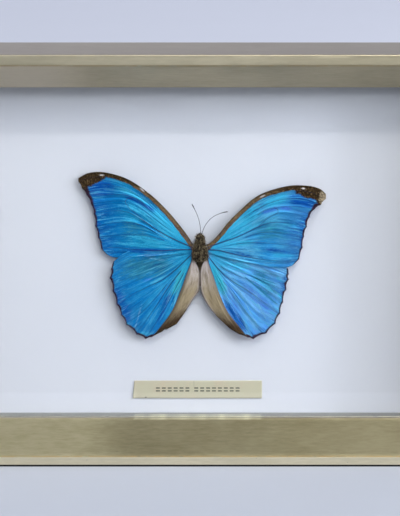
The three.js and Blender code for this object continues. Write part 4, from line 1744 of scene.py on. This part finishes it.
@dataclass
class Wing:
    """A wing's membrane: a fine two-sided sheet that follows the plan's lines."""

    plan: WingPlan
    steps_along: int = 124
    steps_between: int = 15
    thick: float = 0.09
    pleat: float = 0.06
    vein_ridge: float = 0.07
    strong_vein: float = 0.145
    wave: float = 0.2
    sway: float = 0.13
    crumple: float = 0.05

    def build(self, scales: Material, under: Material, vein: Material) -> None:
        """Makes the membrane with its markings, and its veins.

        Args:
            scales: The upper side's finish.
            under: The under side's finish.
            vein: The veins' finish.
        """
        self.lay_out()
        seat(dress(self.sheet(), scales, under), "wing", self.plan.node)
        seat(dress(self.veins(), vein), "wing")

    def lay_out(self) -> None:
        """Works out the grid of points and the distances that the markings need, in millimetres."""
        plan = self.plan
        lines = np.array([spline(np.array(ln, float), self.steps_along + 1) for ln in plan.lines])
        self.t = np.linspace(0, len(lines) - 1, (len(lines) - 1) * self.steps_between + 1)
        self.s = np.linspace(0, 1, self.steps_along + 1)
        grid = np.array([self.between(lines, t) for t in self.t])
        lengths = np.linalg.norm(np.diff(grid, axis=1), axis=2).sum(axis=1)
        reach = 1 - self.edge_cut(self.t) / lengths
        self.grid = np.empty_like(grid)
        for i, share in enumerate(reach):
            for k in range(2):
                self.grid[i, :, k] = np.interp(self.s * share, self.s, grid[i, :, k])
        self.rim = (1 - self.s)[None, :] * (lengths * reach)[:, None]
        gaps = np.linalg.norm(np.diff(self.grid, axis=0), axis=2)
        self.from_costa = np.cumsum(np.vstack([np.zeros((1, gaps.shape[1])), gaps]), axis=0)
        nearest = np.rint(self.t).astype(int)
        spacing = np.vstack([gaps, gaps[-1:]]) * self.steps_between
        self.off_vein = np.abs(self.t - nearest)[:, None] * spacing
        starts = np.array(plan.starts)[nearest][:, None]
        widths = np.array(plan.widths)[nearest][:, None]
        self.vein_width = widths * ease(starts - 0.02, starts + 0.03, self.s[None, :])
        self.lift = self.lifts()

    def rippled(self, seed: int, scale: float, octaves: int) -> Array:
        """Gives each point of the membrane an unevenness of so many millimetres' scale."""
        return Ripple(self.plan.seed + seed, scale, octaves)(self.grid[:, :, 0], self.grid[:, :, 1])

    def between(self, lines: Array, t: float) -> Array:
        """Finds a line part of the way between two of the plan's lines, on a smooth surface.

        Args:
            lines: The plan's lines, sampled.
            t: The place of the line wanted, counted in lines.

        Returns:
            The line's points.
        """
        i = min(int(t), len(lines) - 2)
        u = t - i
        p1, p2 = lines[i], lines[i + 1]
        p0 = lines[i - 1] if i > 0 else 2 * p1 - p2
        p3 = lines[i + 2] if i + 2 < len(lines) else 2 * p2 - p1
        return 0.5 * through(p0, p1, p2, p3, u) + 0.5 * (p1 * (1 - u) + p2 * u)

    def edge_cut(self, across: Array) -> Array:
        """Works out how far the outer edge is drawn in from the lines' ends: scallops, and old tears.

        Args:
            across: Places on the edge, counted in lines.

        Returns:
            The depths, in millimetres.
        """
        depth = self.plan.scallop * np.abs(np.sin(math.pi * across)) ** 0.8
        depth *= ease(0.3, 1.4, across) * ease(0.3, 1.4, across[-1] - across)
        depth += 0.09 * np.abs(Ripple(self.plan.seed + 31, 0.5, 3)(across, 0.0))
        for place, size, width in self.plan.tears:
            depth = np.maximum(depth, size * np.maximum(0, 1 - np.abs(across - place) / width))
        return depth

    def lifts(self) -> Array:
        """Works out the membrane's height over the board: its spread, pleats, veins and waves.

        Returns:
            The height at each point, in millimetres.
        """
        plan, s, t = self.plan, self.s[None, :], self.t[:, None]
        root, mid, tip = plan.lifts
        lift = np.interp(s, [0, 0.5, 1], [root, mid, tip]) * np.ones_like(t)
        lift += self.wave * self.rippled(0, 30.0, 3) * ease(0.05, 0.4, s)
        lift += self.pleat * np.cos(2 * math.pi * t) * ease(0.2, 0.6, s)
        lift += self.sway * Ripple(plan.seed + 40, 1.0, 2)(t * 1.1, s * 1.4) * ease(0.1, 0.4, s)
        lift += self.crumple * self.crinkle() * Ripple(plan.seed + 50, 1.0, 3)(t * 4.0, s * 1.5)
        lift += self.vein_ridge * np.exp(-((self.off_vein / 0.35) ** 2)) * np.minimum(1, self.vein_width * 4)
        if plan.fold_from < self.t[-1]:
            across = np.clip((t - plan.fold_from) / (self.t[-1] - plan.fold_from), 0, 1)
            lift = lift + np.sin(math.pi * across**0.8) * 0.8 * ease(0.0, 0.3, s)
            lift = lift + across**2 * (3.5 - lift) * 0.6
        return lift

    def crinkle(self) -> Array:
        """Finds where the membrane is finely wrinkled: in rays from the root, and at the outer edge.

        Returns:
            A number from 0 to 1 for each point.
        """
        plan, s, t = self.plan, self.s[None, :], self.t[:, None]
        patchy = 0.5 + 0.5 * Ripple(plan.seed + 60, 3.0, 2)(t * 1.3, s * 2.0)
        rays = ease(0.1, 0.22, s) * (1 - ease(0.45, 0.72, s)) * patchy
        tufts = ease(0.84, 0.95, s) * (0.4 + 0.6 * patchy) * 0.8
        return np.clip(rays + tufts, 0, 1)

    def sheet(self) -> Piece:
        """Makes the membrane as one closed, thin sheet.

        Returns:
            The sheet, with its UV map and a vertex number for each marking.
        """
        over = self.world(self.grid, self.lift).reshape(-1, 3)
        under = self.world(self.grid, self.lift - self.thick).reshape(-1, 3)
        front_out = self.plan.mirror > 0
        piece = sheet_piece(f"{self.plan.node}_scales", over, under, self.lift.shape, front_out)
        for name, values in self.markings().items():
            values = (values * np.ones_like(self.lift)).ravel()
            set_attribute(piece, name, np.concatenate([values, values]))
        u = self.s[None, :] * np.ones_like(self.lift)
        v = self.t[:, None] * np.ones_like(self.lift) / 3.0 + self.plan.seed * 0.31
        uv = np.stack([u, v], axis=2).reshape(-1, 2)
        set_uv(piece, "wing", np.vstack([uv, uv]))
        return piece

    def markings(self) -> dict:
        """Works out where the markings are.

        Returns:
            By a marking's name, a number from 0 to 1 for each point.
        """
        plan, s, t = self.plan, self.s[None, :], self.t[:, None]
        uneven = self.rippled(9, 5.0, 4)
        rims = np.interp(self.t, np.arange(len(plan.rims)), plan.rims)[:, None] * (1 + 0.2 * uneven)
        margin = 1 - ease(rims - 0.3, rims + 0.3, self.rim)
        dark, worn, gilt = margin, np.zeros_like(margin), np.zeros_like(margin)
        if plan.costa_width:
            width = plan.costa_width * (1.35 - 0.35 * ease(0.0, 0.35, s)) + 0.15 * uneven
            strip = 1 - ease(width - 0.25, width + 0.25, self.from_costa)
            dark = np.maximum(dark, strip)
            gilt = strip * (1 - ease(0.25, 0.8, s)) * ease(0.1, 0.6, self.from_costa)
        if plan.apex:
            depth = inside(plan.apex, self.grid) + 0.35 * uneven + 0.3 * self.rippled(19, 2.2, 3)
            patch = ease(-0.45, 0.45, depth)
            dark = np.maximum(dark, patch)
            margin = margin * (1 - patch)
        if plan.worn:
            worn = ease(-0.6, 0.6, inside(plan.worn, self.grid) + 0.8 * uneven)
        near = np.exp(-((self.off_vein / np.maximum(self.vein_width, 1e-3)) ** 2))
        fold = ease(plan.fold_from - 0.02, plan.fold_from + 0.06, t)
        inner = 1 - 0.7 * ease(0.35, 0.75, s)
        # Painted shade in the hollows along the strong veins, strongest near the root.
        painted_vein_shade = np.exp(-((self.off_vein / 0.4) ** 2)) * np.clip(self.vein_width * 3.5, 0, 1)
        marks = {
            "margin": margin,
            "vein": near * (self.vein_width > 0.02) * (0.14 + 0.5 * (1 - ease(0.1, 0.55, s))),
            "crinkle": self.crinkle(),
            "painted_vein_shade": painted_vein_shade * inner,
            "root": (1 - ease(0.05, 0.42, s)) * ease(0.02, 0.07, s),
        }
        marks = {name: values * (1 - fold) for name, values in marks.items()}
        marks |= {"dark": dark, "worn": worn, "gilt": gilt, "fold": fold, "down": s, "spot": self.spots()}
        # Painted shade on the fold's outer side.
        marks["outer"] = 1 - ease(plan.fold_from + 0.1, plan.fold_from + 1.1, t)
        # Painted highlight on the fold's inner rim.
        marks["rim"] = ease(self.t[-1] - 0.22, self.t[-1] - 0.06, t) * (s < 0.75) * fold
        marks["edge"] = ease(self.t[-1] - 0.15, self.t[-1] - 0.03, t) * fold
        return marks | {tint.value: self.tinted(tint) for tint in Tint}

    def spots(self) -> Array:
        """Lays the light marks near the leading edge.

        Returns:
            How much each point is part of one.
        """
        total = np.zeros_like(self.lift)
        for spot in self.plan.spots:
            turn = math.radians(spot.turn)
            dx, dz = self.grid[:, :, 0] - spot.middle[0], self.grid[:, :, 1] - spot.middle[1]
            along = dx * math.cos(turn) + dz * math.sin(turn)
            across = dz * math.cos(turn) - dx * math.sin(turn)
            far = (along / spot.size[0]) ** 2 + (across / spot.size[1]) ** 2
            total = np.maximum(total, spot.amount * (1 - ease(0.4, 1.3, far)))
        return total

    def tinted(self, tint: Tint) -> Array:
        """Works out where, and how much, the scales lean to a tint.

        Args:
            tint: The tint.

        Returns:
            A number for each point.
        """
        total = np.zeros_like(self.lift)
        ripple = Ripple(self.plan.seed + 70 + list(Tint).index(tint), 3.0, 3)
        uneven = ripple(self.t[:, None] * 2, self.s[None, :] * 3)
        for row in self.plan.sheens.get(tint, ()):
            sheen = Sheen(*row)
            start, end = np.array(sheen.start), np.array(sheen.end)
            way = end - start
            share = ((self.grid - start) @ way) / (way @ way)
            far = distance_to(self.grid, start, end)
            fall = np.exp(-((far / (sheen.width * (1.2 + 0.4 * uneven))) ** 2))
            fall = fall * (1 - 0.75 * ease(0.2, 0.62, np.abs(share - 0.5)))
            total = np.maximum(total, fall * sheen.amount)
        return total

    def world(self, flat: Array, lift: Array) -> Array:
        """Places points given in millimetres on the plan, with their lifts, in the frame."""
        x = flat[..., 0] * self.plan.mirror * MM
        z = flat[..., 1] * MM + THORAX_Z
        return np.stack([x, SPACE.board_y - lift * MM, z], axis=-1)

    def veins(self) -> Piece:
        """Makes the strong veins and cross veins, as thin raised tubes that taper outwards.

        Returns:
            The tubes, as one piece.
        """
        tubes = Tubes()
        for i, width in enumerate(self.plan.widths):
            if width < self.strong_vein:
                continue
            row, first = i * self.steps_between, int(self.plan.starts[i] * self.steps_along)
            path = self.world(self.grid[row, first:], self.lift[row, first:])
            radius = 0.5 * MM * width * np.linspace(1.0, 0.05, len(path))
            tubes.add(path[::2], radius[::2])
        for crossing in self.plan.cross:
            flat = spline(np.array(crossing, float), 24)
            tubes.add(self.world(flat, self.lift_near(flat)), np.full(24, 0.1 * MM))
        return tubes.piece(f"{self.plan.node}_veins")

    def lift_near(self, flat: Array) -> Array:
        """Finds the membrane's height at the grid points nearest to some places.

        Args:
            flat: The places.

        Returns:
            The heights.
        """
        grid = self.grid.reshape(-1, 2)
        lifts = self.lift.ravel()
        return np.array([lifts[np.argmin(((grid - p) ** 2).sum(axis=1))] for p in flat])


class Tubes:
    """Closed tubes along paths, gathered in one mesh."""

    def __init__(self, sides: int = 6) -> None:
        """Starts with none; each tube has so many sides."""
        self.sides = sides
        self.points = []
        self.faces = []

    def add(self, path: Array, radius: Array) -> None:
        """Adds a tube.

        Args:
            path: Its centreline, one point a row.
            radius: Its radius at each point.
        """
        base, sides = len(self.points), self.sides
        tangents = np.gradient(path, axis=0)
        for place, along, r in zip(path, tangents, radius):
            along = along / (np.linalg.norm(along) + 1e-12)
            across = np.cross(along, (0.0, 1.0, 0.0))
            across = across / (np.linalg.norm(across) + 1e-12)
            up = np.cross(across, along)
            for k in range(sides):
                angle = 2 * math.pi * k / sides
                self.points.append(tuple(place + r * (math.cos(angle) * across + math.sin(angle) * up)))
        self.faces += loft_faces(len(path), sides, base)

    def piece(self, name: str) -> Piece:
        """The tubes as one piece."""
        return new_piece(name, np.array(self.points), self.faces)


@dataclass
class Trunk:
    """Head, thorax and abdomen, with their fur, the wing roots' hairs and the antennae.

    Each section is its height over the thorax's middle, its half width, and its under and top lift, in
    millimetres.
    """

    sections: tuple = (
        (8.4, 0.4, 2.9, 3.7), (8, 0.9, 2.4, 4.2), (7, 1.5, 2, 4.7), (5.8, 1.9, 1.5, 4.8), (4, 2.2, 1, 5.2),
        (2.4, 2.7, 0.6, 5.5), (0.8, 3.4, 0.5, 5.6), (-2, 3.7, 0.4, 5.6), (-4.4, 3.4, 0.5, 4.9),
        (-5.6, 2.3, 0.6, 3.2), (-8, 1.8, 0.4, 2.8), (-12, 1.8, 0.4, 2.8), (-15.5, 1.2, 0.4, 2.6),
        (-17.8, 0.7, 0.5, 2.2), (-18.8, 0.3, 0.8, 1.6),
    )
    rings: int = 90
    sides: int = 36
    furred: Pair = (-5.4, 8.8)
    left_antenna: tuple = ((0.3, 8.2), (0.2, 11.5), (-0.3, 14.8), (-1.2, 18), (-2.4, 20.9), (-4, 24.2))
    right_antenna: tuple = ((0.7, 8.2), (2.2, 12.2), (4.4, 15.6), (7.4, 18.1), (10.8, 19.6), (13.7, 20.3))
    antenna_lifts: Pair = (3.4, 4.6)
    antenna_radius: float = 0.13
    club_radius: float = 0.26
    club_share: Pair = (0.78, 0.93)
    joint_depth: float = 0.14
    joints: int = 46

    def build(self) -> None:
        """Makes the body, its fur and the antennae."""
        skin = Fibre("dark_chitin", shade(56, 44, 22), shade(108, 90, 50), shade(144, 122, 80), 1400.0)
        fur = Fibre("thorax_hair", shade(12, 7, 3), shade(54, 38, 20), shade(226, 204, 160), 1100.0)
        gold = Fibre("root_hair", shade(34, 24, 16), shade(84, 66, 42), shade(180, 158, 118), 1000.0)
        body = self.body()
        emitter = add_piece("thorax_fur", self.upper_part(body))
        seat(dress(body, skin.build()), "chitin", "butterfly_body")
        coat = {"Density": 1.5e7, "Length": 1.2 * MM, "Radius": 0.12 * MM, "Comb": (0.0, -0.1, -0.5)}
        coat |= {"Stand": 0.9, "Stray": 1.3, "Seed": 4}
        seat(grow(emitter, build_fur_tree(fur.build()), coat), "chitin")
        root_tree = build_fur_tree(gold.build())
        for side, title in ((-1, "left"), (1, "right")):
            patch = self.root_patch(side, f"{title}_root_hair")
            tuft = {"Density": 1.1e7, "Length": 1.9 * MM, "Radius": 0.035 * MM}
            tuft |= {"Comb": (0.9 * side, -0.05, -0.35), "Stand": 0.12, "Stray": 0.35, "Seed": 8 + side}
            seat(grow(patch, root_tree, tuft), "chitin")
        horn = Fibre("antenna_horn", shade(62, 62, 64), shade(88, 88, 90), shade(120, 118, 116), 2200.0)
        horn_finish = horn.build()
        for title, route in (("left", self.left_antenna), ("right", self.right_antenna)):
            seat(dress(self.antenna(route, f"{title}_feeler"), horn_finish), "chitin", f"{title}_antenna")

    def body(self) -> Piece:
        """Makes the skin, lofted through the sections, with eyes and two short palps.

        Returns:
            The body.
        """
        table = np.array(self.sections, float)
        smooth = spline(table, self.rings)
        lumps = Ripple(91, 3.0, 3)
        points = []
        for up, half, low, top in smooth:
            for k in range(self.sides):
                angle = 2 * math.pi * k / self.sides
                swell = 1 + 0.04 * lumps(np.array(up * 0.7), np.array(angle))
                waist = 1 - 0.05 * max(0.0, math.sin(up * 3.6)) * (up < -6.5)
                x = half * math.cos(angle) * swell * waist
                lift = (top + low) / 2 + (top - low) / 2 * math.sin(angle) * waist
                points.append((x * MM, SPACE.board_y - lift * MM, THORAX_Z + up * MM))
        faces = []
        for r in range(self.rings - 1):
            for k in range(self.sides):
                a, b = r * self.sides + k, r * self.sides + (k + 1) % self.sides
                faces.append((a, b, b + self.sides, a + self.sides))
        last = (self.rings - 1) * self.sides
        faces.append(tuple(reversed(range(self.sides))))
        faces.append(tuple(last + k for k in range(self.sides)))
        piece = new_piece("furred_body", np.array(points), faces)
        self.add_head_parts(piece)
        return piece

    def add_head_parts(self, piece: Piece) -> None:
        """Joins the eyes and the palps to the head.

        Args:
            piece: The body.
        """
        palp_size = {"radius1": 0.42 * MM, "radius2": 0.14 * MM, "depth": 1.5 * MM}
        with editing(piece.data) as grid:
            for side in (-1, 1):
                eye = Matrix.Translation((1.2 * side * MM, SPACE.board_y - 3.5 * MM, THORAX_Z + 7.0 * MM))
                eye = eye @ Matrix.Diagonal((0.75, 1.05, 1.0, 1.0))
                bmesh.ops.create_uvsphere(grid, u_segments=20, v_segments=12, radius=0.95 * MM, matrix=eye)
                palp = Matrix.Translation((0.45 * side * MM, SPACE.board_y - 3.6 * MM, THORAX_Z + 8.3 * MM))
                bmesh.ops.create_cone(grid, cap_ends=True, segments=10, matrix=palp, **palp_size)
            for face in grid.faces:
                face.smooth = True

    def upper_part(self, body: Piece) -> Mesh:
        """Copies the skin of head and thorax that can be seen, for the fur to stand on.

        Args:
            body: The whole body.

        Returns:
            The mesh of that skin.
        """
        low, high = (THORAX_Z + end * MM for end in self.furred)
        mesh = bpy.data.meshes.new("fur_skin")
        with editing(body.data, mesh) as grid:
            hidden = []
            for face in grid.faces:
                if not low <= face.calc_center_median().z <= high or face.normal.y > 0.6:
                    hidden.append(face)
            bmesh.ops.delete(grid, geom=hidden, context="FACES")
        return mesh

    def root_patch(self, side: int, name: str) -> Piece:
        """Makes a narrow patch along the thorax's side, for the wing roots' long hairs to stand on.

        Args:
            side: -1 for the left and 1 for the right.
            name: The patch's name.

        Returns:
            The patch.
        """
        up = np.linspace(4.2, -4.6, 12)
        points = []
        for height in up:
            for share, lift in ((2.4, 5.0), (3.5, 4.75)):
                points.append((side * share * MM, SPACE.board_y - lift * MM, THORAX_Z + height * MM))
        faces = [(2 * i, 2 * i + 1, 2 * i + 3, 2 * i + 2) for i in range(len(up) - 1)]
        if side > 0:
            faces = [face[::-1] for face in faces]
        return new_piece(name, np.array(points), faces)

    def antenna(self, route: tuple, name: str) -> Piece:
        """Makes a fine jointed rod that swells to a long club.

        Args:
            route: Its middle line, in millimetres from the thorax's middle.
            name: The piece's name.

        Returns:
            The rod.
        """
        flat = spline(np.array(route, float), self.joints * 4 + 1)
        share = np.linspace(0, 1, len(flat))
        start, end = self.antenna_lifts
        lift = start + (end - start) * share
        path = np.column_stack([flat[:, 0] * MM, SPACE.board_y - lift * MM, flat[:, 1] * MM + THORAX_Z])
        swelling = (self.club_radius - self.antenna_radius) * ease(*self.club_share, share)
        radius = self.antenna_radius + swelling
        radius *= 1 - self.joint_depth * (np.arange(len(flat)) % 4 == 0)
        radius[-1] *= 0.4
        tubes = Tubes(sides=10)
        tubes.add(path, radius * MM)
        return tubes.piece(name)


@dataclass
class Butterfly:
    """The spread specimen."""

    plans: tuple = (
        (LEFT_FORE, shade(0, 132, 202), shade(30, 172, 220), 0.75),
        (RIGHT_FORE, shade(48, 156, 222), shade(112, 206, 240), 0.65),
        (LEFT_HIND, shade(0, 138, 214), shade(52, 176, 224), 0.4),
        (RIGHT_HIND, shade(88, 173, 248), shade(138, 212, 252), 0.1),
    )

    def build(self) -> None:
        """Makes the wings and the body."""
        vein = Mottled("dark_vein", shade(8, 36, 100), shade(16, 22, 52), 500.0, 0.6, 0.6).build()
        under = Mottled("wing_underside", shade(96, 76, 56), shade(60, 44, 30), 300.0, 0.7, 0.8).build()
        for plan, azure, light, outer_deep in self.plans:
            scales = WingScales(f"{plan.node}_scales", azure, light, outer_deep).build()
            Wing(plan).build(scales, under, vein)
        Trunk().build()


# -------- camera, light and stage


@dataclass(frozen=True)
class SoftLamp:
    """A rectangle of light parallel to the board, placed by the slopes of its rays to the board's normal."""

    name: str
    across: Pair
    up: Pair
    radiance: float
    colour: Triple
    distance: float = 1.3

    def build(self) -> None:
        """Hangs the lamp in front of the board."""
        wide = (self.across[1] - self.across[0]) * self.distance
        high = (self.up[1] - self.up[0]) * self.distance
        data = bpy.data.lights.new(self.name, "AREA")
        data.shape = "RECTANGLE"
        data.size, data.size_y = wide, high
        data.energy = self.radiance * wide * high
        data.color = self.colour
        lamp = add_piece(self.name, data)
        middle_x = sum(self.across) / 2 * self.distance
        middle_z = sum(self.up) / 2 * self.distance
        lamp.location = SPACE.centre + Vector((middle_x, -self.distance, middle_z))
        lamp.rotation_euler = (math.radians(90), 0.0, 0.0)


@dataclass(frozen=True)
class PaleSweep(Finish):
    """The stage's pale covering: a little lighter away from the frame than under it."""

    name: str
    near: Triple
    far: Triple
    turn: Pair = (0.15, 0.7)

    def inputs(self, g: Graph) -> dict:
        """Gives the shader's inputs by name."""
        place = g.place()
        colour = g.mix(g.range(g.split(place)[1], *self.turn), self.near, self.far)
        mottle = g.group(MOTTLE, Vector=place, Colour=colour, Scale=4.0, Amount=0.03).outputs
        return {
            "Base Color": mottle["Colour"],
            "Roughness": g.range(mottle["Height"], 0.2, 0.8, 0.72, 0.85),
        }


@dataclass
class Studio:
    """A pale table and wall, soft light from the upper right, and the camera."""

    distance: float = 1.175
    eye_over_sill: float = 0.3959
    pitch: float = 15.0
    focal_pixels: float = 2426.0
    picture_height: int = 516
    sensor: float = 36.0
    lamps: tuple = (
        SoftLamp("far_window", (2.0, 2.65), (0.62, 1.2), 128.0, (0.84, 0.89, 1.0)),
        SoftLamp("near_window", (0.9, 2.0), (0.62, 1.2), 27.0, (0.84, 0.89, 1.0)),
        SoftLamp("low_lamp", (0.2, 0.55), (0.54, 0.65), 33.0, (0.95, 1.0, 1.0)),
        SoftLamp("high_lamp", (0.1, 0.6), (1.36, 1.46), 215.0, (1.0, 1.0, 0.96)),
    )
    sky: Triple = (0.80, 0.86, 1.0)
    floor: Triple = (0.80, 0.86, 0.95)
    sky_strength: float = 0.64
    dusk_strength: float = 0.03
    floor_strength: float = 0.45
    horizon: Pair = (-0.2, 0.25)
    floor_edge: Pair = (-0.275, -0.335)
    table: Triple = (0.61, 0.625, 0.67)
    backdrop: Triple = (0.74, 0.745, 0.80)

    def build(self) -> None:
        """Makes the stage, the lamps and the camera."""
        self.camera()
        self.stage()
        self.room()
        for lamp in self.lamps:
            lamp.build()
        bpy.context.scene.view_settings.view_transform = "Standard"

    def camera(self) -> None:
        """Puts the camera in front of the frame, a little above it, looking down."""
        data = bpy.data.cameras.new("camera")
        data.sensor_width = self.sensor
        data.lens = self.focal_pixels / self.picture_height * self.sensor
        data.clip_start = 0.01
        camera = add_piece("camera", data)
        camera.location = (0.0, SPACE.board_y - self.distance, SPACE.sill_z + self.eye_over_sill)
        camera.rotation_euler = (math.radians(90 - self.pitch), 0.0, 0.0)
        bpy.context.scene.camera = camera

    def stage(self) -> None:
        """Makes the table top, with its front edge, and the wall behind, as one bent sheet."""
        front, depth, rise, radius, half = -0.105, 3.0, 2.6, 0.6, 3.2
        outline = [(front, -0.7), (front, -0.01), (front + 0.003, -0.003), (front + 0.01, 0.0)]
        outline += [(depth - radius, 0.0), *arc(depth - radius, radius, radius, -90, 0, 12)[1:]]
        outline.append((depth, rise))
        points = [(x, y, z) for y, z in outline for x in (-half, half)]
        faces = [(2 * i, 2 * i + 1, 2 * i + 3, 2 * i + 2) for i in range(len(outline) - 1)]
        sweep = new_piece("table_and_wall", np.array(points), faces)
        dress(sweep, PaleSweep("pale_table", self.table, self.backdrop).build())

    def room(self) -> None:
        """Fills in softly from all sides, lighter above than below."""
        world = bpy.data.worlds.new("room")
        world.use_nodes = True
        g = Graph(world.node_tree)
        way_up = g.split(g.add("ShaderNodeTexCoord").outputs["Generated"])[2]
        upper = g.range(way_up, *self.horizon, self.dusk_strength, self.sky_strength)
        lower = g.range(way_up, *self.floor_edge, 0, self.floor_strength)
        colour = g.mix(g.range(way_up, *self.horizon), self.floor, self.sky)
        back = world.node_tree.nodes["Background"]
        g.feed(back, {"Color": colour, "Strength": g.total((upper, 1), (lower, 1))})
        bpy.context.scene.world = world


# -------- the whole


def main() -> None:
    """Builds every part of the specimen and its stage in order."""
    logging.basicConfig(level=logging.INFO, format="%(message)s")
    Studio().build()
    leaf = Leaf().build()
    wood = Mottled("bare_wood", shade(196, 168, 128), shade(160, 128, 88), 40.0, 0.5, 0.75).build()
    strip = Leaf("silver_strip", shade(168, 167, 158), shade(146, 144, 138)).build()
    WoodenFrame().build(leaf, strip, wood)
    Pack().build()
    Label().build()
    Butterfly().build()


if __name__ == "__main__":
    main()
